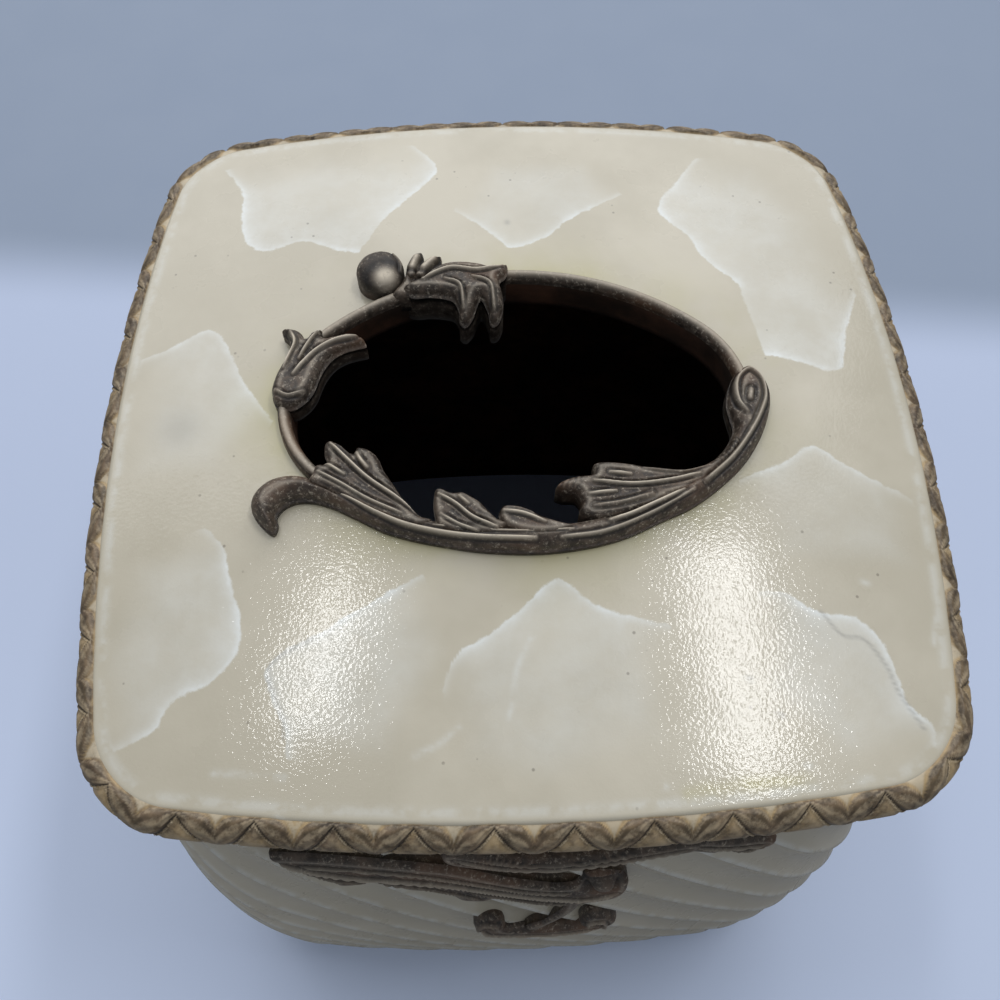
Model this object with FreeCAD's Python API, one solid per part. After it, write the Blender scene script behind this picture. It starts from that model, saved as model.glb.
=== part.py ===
import FreeCAD, Part
import math
import os
from collections import namedtuple

Vector = FreeCAD.Vector

# Tissue box cover, in millimetres.
# The floor is z = 0, +Z is up, the origin is the middle of the base and the front faces -Y.

# Cuts
OVERRUN = 5.0
FIT_CLEARANCE = 0.3

# Sleeve: a square with bowed sides, given at its base, its belly and its neck
SLEEVE_HEIGHT = 151.0
BELLY_HEIGHT = 24.0
WALL = 5.0
BASE_HALF = 77.0
BASE_BOW = 6.3
BASE_CORNER = 26.0
BELLY_HALF = 83.0
BELLY_BOW = 6.3
BELLY_CORNER = 34.0
NECK_HALF = 66.5
NECK_BOW = 6.0
NECK_CORNER = 21.0
INNER_SECTIONS = 7

# Swirl flutes round the sleeve
FLUTES = 40
FLUTE_DEPTH = 1.4
FLUTE_LEAN = 40.0
FLUTE_LEVELS = 24

# Deck: a crowned plate on the sleeve, hollow below, with a lip that drops into the neck
DECK_HALF = 69.6
DECK_BOW = 5.4
DECK_CORNER = 15.2
DECK_EDGE = 8.2
DECK_WALL = 6.0
CROWN = 3.0
SHOULDER = 2.0
LIP_WALL = 3.0
LIP_DEPTH = 4.0

# Ribbon border: a half-round band with crossed leaf-shaped facets
RIBBON_HEIGHT = 6.6
BAND_OUT = 2.3
RIBBON_REPEATS = 44
LOBE_WIDTH = 3.6
LOBE_RISE = 2.0
LOBE_SINK = 1.2
APEX_OUT = 0.7
FOOT_OUT = 2.1
FACET_RISE = 1.1
# Heights of the lobe ends up the band
APEX_HEIGHT_SHARE = 0.90
FOOT_HEIGHT_SHARE = 0.22

# Mouth: a four-centred oval through the deck, lined by a ring
MOUTH_HALF_LONG = 38.6
MOUTH_HALF_SHORT = 25.5
MOUTH_END_RADIUS = 17.5
COLLAR_WALL = 1.6
RIM_WIDTH = 3.0
RIM_RISE = 3.0
RIM_SINK = 1.5

# Stem and leaves round the mouth
STEM_WIDTH = 5.6
STEM_HEIGHT = 5.0
STEM_LIFT = 2.2
VOLUTE_RADIUS = 4.4
VOLUTE_EYE = 2.3
VOLUTE_START = -50.0
VOLUTE_TURN = 280.0
VOLUTE_POINTS = 9
LEAF_LIFT = 2.4
LEAF_DIP = 3.0
LOBE_WIDE = 7.2
LOBE_SLIM = 5.2
LOBE_THICK = 3.2
PETAL_WIDTH = 3.2
PETAL_THICK = 3.2
CURL_RADIUS = 4.4

# Scroll work on each wall
SCROLL_WIDTH = 10.5
SCROLL_THICK = 5.0
SCROLL_BALL = 4.2
CREST_WIDTH = 6.0
DROP_WIDTH = 5.0
DROP_CURL = 2.8
SPRIG_WIDTH = 6.0
FRINGE_WIDTH = 5.0

# Section of every stem and leaf: shares of its half width and half thickness
SECTION_SHARES = ((-1.0, 0.0), (-0.62, 0.72), (0.0, 1.0), (0.62, 0.72), (1.0, 0.0), (0.0, -1.0))

# Routes round the mouth: shares of the mouth's half length and half width
STEM_SHARES = (
    (-1.03, -0.92), (-1.067, -0.824), (-1.06, -0.725), (-0.992, -0.655), (-0.907, -0.659),
    (-0.803, -0.706), (-0.674, -0.78), (-0.549, -0.867), (-0.303, -0.973), (0.02, -1.035),
    (0.306, -0.992), (0.557, -0.847), (0.824, -0.612), (0.935, -0.447), (1.026, -0.235), (1.08, -0.08),
)
STEM_TAPER_SHARES = (
    0.45, 0.55, 0.62, 0.68, 0.72, 0.75, 0.78, 0.82, 0.88, 0.95, 1.0, 1.0, 1.0, 1.0, 1.0,
    1.0, 1.0, 1.0, 1.0, 1.0, 0.95, 0.86, 0.75, 0.62, 0.50,
)
VOLUTE_SHARES = (1.034, -0.03)
VOLUTE_TAPER_SHARES = (0.52, 0.50, 0.48, 0.46, 0.44, 0.42, 0.40, 0.38, 0.36, 0.34)
LEAF_LEFT_SHARES = (
    ((-0.37, -0.93), (-0.59, -0.70), (-0.80, -0.385)),
    ((-0.40, -0.89), (-0.545, -0.66), (-0.665, -0.44)),
    ((-0.50, -0.85), (-0.70, -0.665), (-0.85, -0.54)),
)
LEAF_MIDDLE_SHARES = (
    ((-0.05, -0.98), (-0.22, -0.895), (-0.342, -0.753)),
    ((-0.05, -0.965), (-0.168, -0.863), (-0.254, -0.77)),
)
LEAF_SMALL_SHARES = (((0.207, -1.004), (0.052, -0.949), (-0.088, -0.89)),)
LEAF_RIGHT_SHARES = (
    ((0.83, -0.46), (0.648, -0.68), (0.326, -0.624)),
    ((0.74, -0.59), (0.492, -0.757), (0.171, -0.722)),
    ((0.60, -0.73), (0.44, -0.875), (0.249, -0.88)),
)
BACK_LEAF_SHARES = (
    ((-0.479, 0.871), (-0.285, 0.988), (-0.039, 1.027)),
    ((-0.389, 0.91), (-0.259, 0.882), (-0.223, 0.667)),
    ((-0.259, 0.961), (-0.13, 0.902), (-0.083, 0.667)),
)
BACK_SPROUT_SHARES = (
    ((-0.455, 0.99), (-0.472, 1.118), (-0.43, 1.235)),
    ((-0.438, 0.99), (-0.404, 1.11), (-0.339, 1.192)),
)
LEFT_BUD_SHARES = (
    ((-1.01, 0.0), (-1.026, 0.267), (-1.02, 0.541)),
    ((-0.984, 0.02), (-0.951, 0.294), (-0.886, 0.525)),
    ((-0.959, 0.031), (-0.87, 0.322), (-0.694, 0.451)),
)
BACK_CURL_TAIL_SHARES = ((-0.492, 0.863), (-0.531, 0.941), (-0.583, 1.02))
BACK_CURL_SHARES = (-0.617, 1.051)
LEAF_TAPER_SHARES = (0.55, 0.80, 0.98, 1.0, 0.88, 0.60, 0.22)

# Routes on a wall: shares of the neck's half width and the sleeve's height
SCROLL_STEM_SHARES = (
    (-0.67, 0.858), (-0.57, 0.842), (-0.42, 0.834), (-0.27, 0.818),
    (-0.12, 0.785), (0.03, 0.755), (0.16, 0.745),
)
SCROLL_BALL_SHARES = (0.20, 0.772)
SCROLL_FRINGE_SHARES = (
    ((-0.56, 0.836), (-0.51, 0.810), (-0.44, 0.793)),
    ((-0.28, 0.812), (-0.22, 0.785), (-0.14, 0.757)),
    ((-0.07, 0.774), (0.00, 0.745), (0.08, 0.722)),
)
SCROLL_CREST_SHARES = ((-0.19, 0.889), (0.00, 0.853), (0.20, 0.862), (0.41, 0.887))
SCROLL_DROP_SHARES = (
    (-0.110, 0.618), (-0.105, 0.572), (-0.060, 0.540), (0.030, 0.528),
    (0.120, 0.532), (0.190, 0.556), (0.222, 0.592),
)
SCROLL_LEAF_SHARES = ((0.40, 0.893), (0.50, 0.868), (0.62, 0.869))
SCROLL_TAPER_SHARES = (0.30, 0.55, 0.75, 0.90, 1.0, 1.0, 1.0, 1.0, 0.95, 0.88, 0.80, 0.70)
CREST_TAPER_SHARES = (0.25, 0.50, 0.75, 0.95, 1.0, 1.0, 1.0, 1.0, 0.92, 0.75, 0.50, 0.25)
DROP_TAPER_SHARES = (0.50, 0.58, 0.70, 0.84, 0.95, 1.0, 0.95, 0.84, 0.70, 0.58, 0.50)

DECK_TOP = SLEEVE_HEIGHT + DECK_EDGE + CROWN
DOME_RADIUS = (DECK_HALF ** 2 + CROWN ** 2) / (2 * CROWN)
Z_AXIS = Vector(0, 0, 1)
ORIGIN = Vector(0, 0, 0)
FRONT = -math.pi / 2
WALL_NAMES = ("front", "right", "back", "left")

Stretch = namedtuple("Stretch", "centre radius start sweep")


def direction(angle):
    """Unit vector in plan at an angle from +X."""
    return Vector(math.cos(angle), math.sin(angle), 0)


def bowed_square(half, bow, corner, offset=0.0):
    """Arcs of a square with bowed sides and round corners, from the middle of the front, turning to +X."""
    chord = half - bow
    side_radius = (chord ** 2 + bow ** 2) / (2 * bow)
    side_centre = half - side_radius
    reach = side_radius - corner
    corner_centre = (side_centre + math.sqrt(2 * reach ** 2 - side_centre ** 2)) / 2
    turn = math.atan2(corner_centre, corner_centre - side_centre)
    quarter = math.pi / 2
    chain = []
    for side in range(4):
        facing = FRONT + side * quarter
        nearer = direction(facing) * side_centre
        further = direction(facing + quarter) * side_centre
        diagonal = (direction(facing) + direction(facing + quarter)) * corner_centre
        chain.append(Stretch(nearer, side_radius + offset, facing, turn))
        chain.append(Stretch(diagonal, corner + offset, facing + turn, quarter - 2 * turn))
        chain.append(Stretch(further, side_radius + offset, facing + quarter - turn, turn))
    return chain


def mouth_oval(offset=0.0):
    """Arcs of the four-centred oval of the mouth, from the middle of the front, turning to +X."""
    long, short, end = MOUTH_HALF_LONG, MOUTH_HALF_SHORT, MOUTH_END_RADIUS
    flank = (long ** 2 - 2 * long * end + short ** 2) / (2 * (short - end))
    tip = Vector(long - end, 0, 0)
    back = Vector(0, flank - short, 0)
    spread = math.atan2(back.y, tip.x)
    reach = math.pi / 2 - spread
    return [
        Stretch(back, flank + offset, FRONT, reach),
        Stretch(tip, end + offset, -spread, 2 * spread),
        Stretch(-back, flank + offset, spread, 2 * reach),
        Stretch(-tip, end + offset, math.pi - spread, 2 * spread),
        Stretch(back, flank + offset, math.pi + spread, reach),
    ]


def girth(chain):
    """Length once round a chain of arcs."""
    return sum(arc.radius * arc.sweep for arc in chain)


def along(chain, share):
    """Point and outward direction at a share of the girth."""
    left = (share % 1.0) * girth(chain)
    for arc in chain:
        if left <= arc.radius * arc.sweep:
            break
        left -= arc.radius * arc.sweep
    outward = direction(arc.start + left / arc.radius)
    return arc.centre + outward * arc.radius, outward


def chain_wire(chain, height):
    """Closed wire of a chain at a height."""
    edges = []
    for arc in chain:
        ends = [arc.centre + direction(arc.start + arc.sweep * part / 2) * arc.radius for part in range(3)]
        edges.append(Part.Arc(*[Vector(point.x, point.y, height) for point in ends]).toShape())
    return Part.Wire(edges)


def prism(chain, bottom, height):
    """Upright solid on a chain."""
    return Part.Face(chain_wire(chain, bottom)).extrude(Vector(0, 0, height))


def run_round(chain, profile):
    """Carry a profile, drawn outward and upward from the chain, once round it."""
    lengths = []
    for arc in chain:
        section = profile.copy()
        section.translate(Vector(arc.radius, 0, 0))
        section.rotate(ORIGIN, Z_AXIS, math.degrees(arc.start))
        section.translate(arc.centre)
        lengths.append(section.revolve(arc.centre, Z_AXIS, math.degrees(arc.sweep)))
    return lengths[0].multiFuse(lengths[1:]).removeSplitter()


def sleeve_plan(height, offset=0.0):
    """Plan of the sleeve at a height: widest at the belly, drawn in to the neck and to the base."""
    if height >= BELLY_HEIGHT:
        draw = (height - BELLY_HEIGHT) / (SLEEVE_HEIGHT - BELLY_HEIGHT)
        end = (NECK_HALF, NECK_BOW, NECK_CORNER)
    else:
        draw = (BELLY_HEIGHT - height) / BELLY_HEIGHT
        end = (BASE_HALF, BASE_BOW, BASE_CORNER)
    belly = (BELLY_HALF, BELLY_BOW, BELLY_CORNER)
    half, bow, corner = [wide + (far - wide) * draw ** 2 for wide, far in zip(belly, end)]
    return bowed_square(half, bow, corner, offset)


def deck_plan(offset=0.0):
    """Plan of the deck's edge."""
    return bowed_square(DECK_HALF, DECK_BOW, DECK_CORNER, offset)


def deck_height(x, y):
    """Height of the crowned deck over a place in plan."""
    return DECK_TOP - DOME_RADIUS + math.sqrt(DOME_RADIUS ** 2 - x ** 2 - y ** 2)


def flute_poles():
    """Rows of ridge, valley and ridge points for every flute, from the base to the neck."""
    belly_girth = girth(sleeve_plan(BELLY_HEIGHT))
    swirl = math.tan(math.radians(FLUTE_LEAN)) / belly_girth
    flutes = [[] for _ in range(FLUTES)]
    for level in range(FLUTE_LEVELS + 1):
        height = SLEEVE_HEIGHT * level / FLUTE_LEVELS
        plan = sleeve_plan(height)
        lift = Vector(0, 0, height)
        start = swirl * (SLEEVE_HEIGHT - height)
        for index, rows in enumerate(flutes):
            ridge = along(plan, start + index / FLUTES)[0]
            middle, outward = along(plan, start + (index + 0.5) / FLUTES)
            after = along(plan, start + (index + 1) / FLUTES)[0]
            valley = middle - outward * (2 * FLUTE_DEPTH)
            rows.append([ridge + lift, valley + lift, after + lift])
    return flutes


def flute_face(rows):
    """One concave flute between two ridges."""
    spans = len(rows) - 3
    knots = list(range(spans + 1))
    repeats = [4] + [1] * (spans - 1) + [4]
    surface = Part.BSplineSurface()
    surface.buildFromPolesMultsKnots(rows, repeats, [3, 3], knots, [0, 1], False, False, 3, 2)
    return surface.toShape()


def scalloped_cap(flutes, level):
    """Flat face across the flutes at their first or last row."""
    edges = []
    for rows in flutes:
        curve = Part.BezierCurve()
        curve.setPoles(rows[level])
        edges.append(curve.toShape())
    return Part.Face(Part.Wire(edges))


def solid_sleeve():
    """The sleeve's outside, filled."""
    flutes = flute_poles()
    faces = [flute_face(rows) for rows in flutes]
    faces += [scalloped_cap(flutes, 0), scalloped_cap(flutes, -1)]
    shell = Part.makeShell(faces)
    shell.sewShape()
    return Part.makeSolid(shell)


def fluted_sleeve(outside):
    """The fluted wall, open at both ends."""
    sections = [chain_wire(sleeve_plan(0, -WALL), -OVERRUN)]
    for index in range(INNER_SECTIONS):
        height = SLEEVE_HEIGHT * index / (INNER_SECTIONS - 1)
        sections.append(chain_wire(sleeve_plan(height, -WALL), height))
    sections.append(chain_wire(sleeve_plan(SLEEVE_HEIGHT, -WALL), SLEEVE_HEIGHT + OVERRUN))
    return outside.cut(Part.makeLoft(sections, True, False))


def top_deck():
    """The crowned plate, hollow below, with its lip and the hole for the mouth."""
    block = prism(deck_plan(), SLEEVE_HEIGHT, DECK_EDGE + CROWN)
    dome_centre = Vector(0, 0, DECK_TOP - DOME_RADIUS)
    plate = block.common(Part.makeSphere(DOME_RADIUS, dome_centre))
    half_way = SLEEVE_HEIGHT + DECK_EDGE / 2
    rim = [edge for edge in plate.Edges if edge.BoundBox.ZMin > half_way and not on_seam(edge)]
    plate = plate.makeFillet(SHOULDER, rim)
    lip_outside = sleeve_plan(SLEEVE_HEIGHT, -WALL - FIT_CLEARANCE)
    lip_inside = sleeve_plan(SLEEVE_HEIGHT, -WALL - FIT_CLEARANCE - LIP_WALL)
    lip = prism(lip_outside, SLEEVE_HEIGHT - LIP_DEPTH, LIP_DEPTH)
    hollow = prism(lip_inside, SLEEVE_HEIGHT - LIP_DEPTH - OVERRUN, LIP_DEPTH + OVERRUN + DECK_EDGE + CROWN)
    hollow = hollow.common(Part.makeSphere(DOME_RADIUS - DECK_WALL, dome_centre))
    hole = prism(mouth_oval(COLLAR_WALL), SLEEVE_HEIGHT - OVERRUN, DECK_EDGE + CROWN + 2 * OVERRUN)
    return plate.fuse(lip).cut(hollow).cut(hole).removeSplitter()


def on_seam(edge):
    """Whether an edge crosses the deck instead of running along its rim."""
    middle = edge.valueAt((edge.FirstParameter + edge.LastParameter) / 2)
    return math.hypot(middle.x, middle.y) < DECK_HALF - DECK_BOW


def half_round(out, bottom, height):
    """Profile with a flat back and a round front."""
    foot = Vector(0, 0, bottom)
    crest = Vector(0, 0, bottom + height)
    bulge = Vector(out, 0, bottom + height / 2)
    edges = [Part.Arc(foot, bulge, crest).toShape(), Part.LineSegment(crest, foot).toShape()]
    return Part.Face(Part.Wire(edges))


def faceted(points, triangles):
    """Closed solid with flat triangular faces."""
    faces = []
    for corners in triangles:
        ring = [points[corner] for corner in corners]
        faces.append(Part.Face(Part.makePolygon(ring + ring[:1])))
    return Part.makeSolid(Part.makeShell(faces))


def ribbon_lobe(foot, apex, outward):
    """A pointed leaf with a raised back, from the foot of the band to its top."""
    axis = apex - foot
    side = axis.cross(outward).normalize()
    middle = (foot + apex) / 2
    points = [foot, apex, middle + side * (LOBE_WIDTH / 2), middle - side * (LOBE_WIDTH / 2)]
    points += [middle + outward * LOBE_RISE, middle - outward * LOBE_SINK]
    from_foot = [(0, 2, 4), (0, 4, 3), (0, 3, 5), (0, 5, 2)]
    from_apex = [(1, 4, 2), (1, 3, 4), (1, 5, 3), (1, 2, 5)]
    return faceted(points, from_foot + from_apex)


def ribbon_border():
    """The half-round band with its crossed leaves and the facets between them."""
    bottom = SLEEVE_HEIGHT + DECK_EDGE - SHOULDER - RIBBON_HEIGHT
    band = run_round(deck_plan(), half_round(BAND_OUT, bottom, RIBBON_HEIGHT))
    top = Vector(0, 0, bottom + RIBBON_HEIGHT * APEX_HEIGHT_SHARE)
    low = Vector(0, 0, bottom + RIBBON_HEIGHT * FOOT_HEIGHT_SHARE)
    pieces = []
    for index in range(RIBBON_REPEATS):
        left = along(deck_plan(FOOT_OUT), index / RIBBON_REPEATS)[0] + low
        apex, outward = along(deck_plan(APEX_OUT), (index + 0.5) / RIBBON_REPEATS)
        right = along(deck_plan(FOOT_OUT), (index + 1) / RIBBON_REPEATS)[0] + low
        apex = apex + top
        pieces += [ribbon_lobe(left, apex, outward), ribbon_lobe(right, apex, outward)]
        heart = (left + right + apex) / 3
        points = [left, right, apex, heart + outward * FACET_RISE, heart - outward * LOBE_SINK]
        pieces.append(faceted(points, [(0, 1, 3), (1, 2, 3), (2, 0, 3), (1, 0, 4), (2, 1, 4), (0, 2, 4)]))
    return band.multiFuse(pieces)


def mouth_ring(deck):
    """The collar that lines the mouth, with its bead seated on the deck."""
    bottom = DECK_TOP - DECK_WALL
    seat = deck_height(MOUTH_HALF_LONG + RIM_WIDTH, 0) - RIM_SINK
    crest = deck_height(0, MOUTH_HALF_SHORT + RIM_WIDTH)
    corners = [(0, crest), (0, bottom), (COLLAR_WALL, bottom), (COLLAR_WALL, seat)]
    corners += [(RIM_WIDTH, seat), (RIM_WIDTH, crest)]
    points = [Vector(out, 0, height) for out, height in corners]
    edges = [Part.LineSegment(a, b).toShape() for a, b in zip(points, points[1:])]
    crown = Vector(RIM_WIDTH / 2, 0, crest + RIM_RISE)
    edges.append(Part.Arc(points[-1], crown, points[0]).toShape())
    return run_round(mouth_oval(), Part.Face(Part.Wire(edges))).cut(deck)


def on_deck(shares, lift):
    """Place over the deck, from shares of the mouth's half length and half width."""
    x, y = shares[0] * MOUTH_HALF_LONG, shares[1] * MOUTH_HALF_SHORT
    return Vector(x, y, deck_height(x, y) + lift)


def on_wall(shares):
    """Place on the front wall, from shares of the neck's half width and the sleeve's height."""
    x, height = shares[0] * NECK_HALF, shares[1] * SLEEVE_HEIGHT
    side = sleeve_plan(height)[0]
    return Vector(x, side.centre.y - math.sqrt(side.radius ** 2 - x ** 2), height)


def wall_outward(point):
    """Outward direction of the front wall at a point."""
    here = on_wall((point.x / NECK_HALF, point.z / SLEEVE_HEIGHT))
    above = on_wall((point.x / NECK_HALF, (point.z + WALL) / SLEEVE_HEIGHT))
    beside = on_wall(((point.x + WALL) / NECK_HALF, point.z / SLEEVE_HEIGHT))
    return (beside - here).cross(above - here).normalize()


def upward(point):
    """Outward direction of the deck."""
    return Z_AXIS


def leaf_bar(points, width, thick, taper_shares, outward_at):
    """A tapering bar of carved sections set square to a smooth route."""
    route = Part.BSplineCurve()
    route.interpolate(points)
    sections = []
    for index, taper in enumerate(taper_shares):
        place = index / (len(taper_shares) - 1)
        place = route.FirstParameter + (route.LastParameter - route.FirstParameter) * place
        centre = route.value(place)
        forward = route.tangent(place)[0]
        side = forward.cross(outward_at(centre)).normalize()
        rise = side.cross(forward) * (thick * taper / 2)
        reach = side * (width * taper / 2)
        ring = [centre + reach * across + rise * up for across, up in SECTION_SHARES]
        sections.append(Part.makePolygon(ring + ring[:1]))
    return Part.makeLoft(sections, True, True)


def vine_stem():
    """The front stem, from its hooked curl on the left to its volute on the right."""
    stem = [on_deck(shares, STEM_LIFT) for shares in STEM_SHARES]
    stem = leaf_bar(stem, STEM_WIDTH, STEM_HEIGHT, STEM_TAPER_SHARES, upward)
    eye = on_deck(VOLUTE_SHARES, STEM_LIFT)
    volute = []
    for index in range(VOLUTE_POINTS):
        wound = index / (VOLUTE_POINTS - 1)
        angle = math.radians(VOLUTE_START + VOLUTE_TURN * wound)
        volute.append(eye + direction(angle) * (VOLUTE_RADIUS + (VOLUTE_EYE - VOLUTE_RADIUS) * wound))
    return stem.fuse(leaf_bar(volute, STEM_WIDTH, STEM_HEIGHT, VOLUTE_TAPER_SHARES, upward))


def leaf(lobe_shares, width, thick, dip=0.0):
    """Lobes that grow from one root; the tips dip below the roots."""
    lobes = []
    for shares in lobe_shares:
        last = len(shares) - 1
        points = [on_deck(place, LEAF_LIFT - dip * (index / last) ** 2) for index, place in enumerate(shares)]
        lobes.append(leaf_bar(points, width, thick, LEAF_TAPER_SHARES, upward))
    return lobes[0].multiFuse(lobes[1:]) if len(lobes) > 1 else lobes[0]


def back_curl():
    """The ball-shaped curl with its tail on the ring."""
    points = [on_deck(shares, LEAF_LIFT) for shares in BACK_CURL_TAIL_SHARES]
    tail = leaf_bar(points, PETAL_WIDTH, PETAL_THICK, LEAF_TAPER_SHARES[1:5], upward)
    return tail.fuse(Part.makeSphere(CURL_RADIUS, on_deck(BACK_CURL_SHARES, LEAF_LIFT)))


def mouth_trim():
    """Name and rough solid of each ornament round the mouth, in the order that they are laid on."""
    return [
        ("vine_stem", vine_stem()),
        ("leaf_left", leaf(LEAF_LEFT_SHARES, LOBE_WIDE, LOBE_THICK)),
        ("leaf_right", leaf(LEAF_RIGHT_SHARES, LOBE_WIDE, LOBE_THICK)),
        ("leaf_middle", leaf(LEAF_MIDDLE_SHARES, LOBE_SLIM, LOBE_THICK)),
        ("leaf_small", leaf(LEAF_SMALL_SHARES, LOBE_SLIM, LOBE_THICK)),
        ("left_bud", leaf(LEFT_BUD_SHARES, LOBE_SLIM, PETAL_THICK)),
        ("back_leaf", leaf(BACK_LEAF_SHARES, LOBE_WIDE, LOBE_THICK, LEAF_DIP)),
        ("back_curl", back_curl()),
        ("back_sprout", leaf(BACK_SPROUT_SHARES, PETAL_WIDTH, PETAL_THICK)),
    ]


def wall_bar(route_shares, width, taper_shares):
    """A tapering bar that follows a route on the front wall."""
    points = [on_wall(shares) for shares in route_shares]
    return leaf_bar(points, width, SCROLL_THICK, taper_shares, wall_outward)


def scroll_stem():
    """The long leafy stem that ends in a ball."""
    fringe = [wall_bar(shares, FRINGE_WIDTH, LEAF_TAPER_SHARES) for shares in SCROLL_FRINGE_SHARES]
    ball = Part.makeSphere(SCROLL_BALL, on_wall(SCROLL_BALL_SHARES))
    return wall_bar(SCROLL_STEM_SHARES, SCROLL_WIDTH, SCROLL_TAPER_SHARES).multiFuse(fringe + [ball])


def scroll_drop():
    """The lower scroll, curled over at both ends."""
    ends = (SCROLL_DROP_SHARES[0], SCROLL_DROP_SHARES[-1])
    curls = [Part.makeSphere(DROP_CURL, on_wall(shares)) for shares in ends]
    return wall_bar(SCROLL_DROP_SHARES, DROP_WIDTH, DROP_TAPER_SHARES).multiFuse(curls)


def wall_trim():
    """Name and rough solid of each ornament on the front wall, in the order that they are laid on."""
    return [
        ("scroll_stem", scroll_stem()),
        ("scroll_crest", wall_bar(SCROLL_CREST_SHARES, CREST_WIDTH, CREST_TAPER_SHARES)),
        ("scroll_drop", scroll_drop()),
        ("scroll_leaf", wall_bar(SCROLL_LEAF_SHARES, SPRIG_WIDTH, LEAF_TAPER_SHARES)),
    ]


def cut_clear(shape, others):
    """A shape without what the others take up, one cut at a time."""
    for other in others:
        if shape.BoundBox.intersect(other.BoundBox):
            shape = shape.cut(other)
    return shape


def lay_on(rough, laid):
    """Cut each ornament to the pieces that it lies on, so that it seats on them face to face."""
    seated = {}
    for name, shape in rough:
        seated[name] = cut_clear(shape, laid + list(seated.values()))
    return seated


def main():
    """Build every piece and write it to its own file."""
    outside = solid_sleeve()
    deck = top_deck()
    trim = lay_on(mouth_trim(), [deck])
    pieces = {
        "fluted_sleeve": fluted_sleeve(outside),
        "top_deck": deck,
        "ribbon_border": ribbon_border(),
        "mouth_ring": cut_clear(mouth_ring(deck), trim.values()),
    }
    pieces.update(trim)
    for name, shape in lay_on(wall_trim(), [outside]).items():
        for turn, wall in enumerate(WALL_NAMES):
            copy = shape.copy()
            copy.rotate(ORIGIN, Z_AXIS, 90 * turn)
            pieces[wall + "_" + name] = copy
    os.makedirs("parts", exist_ok=True)
    for name, shape in pieces.items():
        print(name, len(shape.Solids), "solid, valid", shape.isValid(), "volume", round(shape.Volume, 1))
        shape.exportStep(os.path.join("parts", name + ".step"))


main()
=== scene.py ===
import logging
import math
from collections.abc import Callable
from dataclasses import dataclass, field
from enum import Enum

import bpy
import numpy as np
from mathutils import Matrix, Vector
from mathutils.geometry import delaunay_2d_cdt


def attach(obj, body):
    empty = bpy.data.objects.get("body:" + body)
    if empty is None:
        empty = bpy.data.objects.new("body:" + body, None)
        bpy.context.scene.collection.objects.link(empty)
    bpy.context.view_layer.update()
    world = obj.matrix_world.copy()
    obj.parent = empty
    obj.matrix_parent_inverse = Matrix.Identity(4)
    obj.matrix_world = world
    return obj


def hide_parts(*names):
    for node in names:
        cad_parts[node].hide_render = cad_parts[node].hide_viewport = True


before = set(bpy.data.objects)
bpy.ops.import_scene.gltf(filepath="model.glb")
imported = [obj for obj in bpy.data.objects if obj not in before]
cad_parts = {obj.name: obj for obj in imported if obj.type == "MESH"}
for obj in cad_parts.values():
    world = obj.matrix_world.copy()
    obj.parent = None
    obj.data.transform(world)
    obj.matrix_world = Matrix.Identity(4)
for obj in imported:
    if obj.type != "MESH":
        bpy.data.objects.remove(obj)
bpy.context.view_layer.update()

# Sizes are in millimetres, as in the part, and become metres where a mesh is made.
MM = 0.001
log = logging.getLogger("tissue_box_cover")

Array = np.ndarray
Places = tuple[tuple[float, float], ...]
Colour = tuple[float, float, float, float]
Carry = Callable[[Array, Array], Array]
Material = bpy.types.Material
Socket = bpy.types.NodeSocket


class Slot(Enum):
    """Material slots of the record."""

    IVORY = "ivory_resin"
    GILT = "gilt_border"
    BRONZE = "bronze_paint"


class Wall(Enum):
    """Walls of the sleeve, by quarter turns from the front."""

    FRONT = 0
    RIGHT = 1
    BACK = 2
    LEFT = 3


class Dress(Enum):
    """Vertex values that the finishes read."""

    WORN = "worn"
    # Dark paint in hollows, together with painted shade on the sides and undersides of the carvings, under
    # the border's lower edge and on the mouth's collar.
    HOLLOW = "hollow"
    GOLD = "gold"
    CREAM = "cream"
    SHARD_REACH = "shard_reach"
    SHARD_PALE = "shard_pale"
    # Pale streaks and filler on the deck, and painted highlights along the sleeve's flute ridges.
    STREAK = "streak"
    GLAZE = "glaze"
    SMUDGE = "smudge"


def smooth_line(points: Places, step: float, closed: bool) -> Array:
    """Draw a smooth line through a few places.

    Args:
        points: Places that the line goes through.
        step: Spacing of the points along the line.
        closed: Whether the line returns to its start.

    Returns:
        Points along the line, without the last one if it is closed.
    """
    knots = np.array(points, float)
    if closed:
        knots = np.vstack([knots[-1], knots, knots[:2]])
    else:
        knots = np.vstack([2 * knots[0] - knots[1], knots, 2 * knots[-1] - knots[-2]])
    runs = np.sqrt(np.linalg.norm(np.diff(knots, axis=0), axis=1)) + 1e-6
    line = []
    for index in range(1, len(knots) - 2):
        before, here, after, beyond = knots[index - 1:index + 3]
        first, span, last = runs[index - 1:index + 2]
        leave = span * ((here - before) / first - (after - before) / (first + span) + (after - here) / span)
        arrive = span * ((after - here) / span - (beyond - here) / (span + last) + (beyond - after) / last)
        count = max(2, math.ceil(np.linalg.norm(after - here) / step))
        t = np.linspace(0, 1, count, endpoint=False)[:, None]
        line.append((2 * t ** 3 - 3 * t ** 2 + 1) * here + (t ** 3 - 2 * t ** 2 + t) * leave
                    + (3 * t ** 2 - 2 * t ** 3) * after + (t ** 3 - t ** 2) * arrive)
    if not closed:
        line.append(knots[-2:-1])
    return np.vstack(line)


def line_distance(places: Array, line: Array) -> Array:
    """Measure how far places lie from a line.

    Args:
        places: Places in a plane.
        line: Points of an open line.

    Returns:
        The least distance of each place.
    """
    starts, runs = line[:-1], np.diff(line, axis=0)
    best = np.full(len(places), np.inf)
    for start, run in zip(starts, runs):
        away = places - start
        share = np.clip(away @ run / (run @ run + 1e-12), 0, 1)
        best = np.minimum(best, np.linalg.norm(away - share[:, None] * run, axis=1))
    return best


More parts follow.
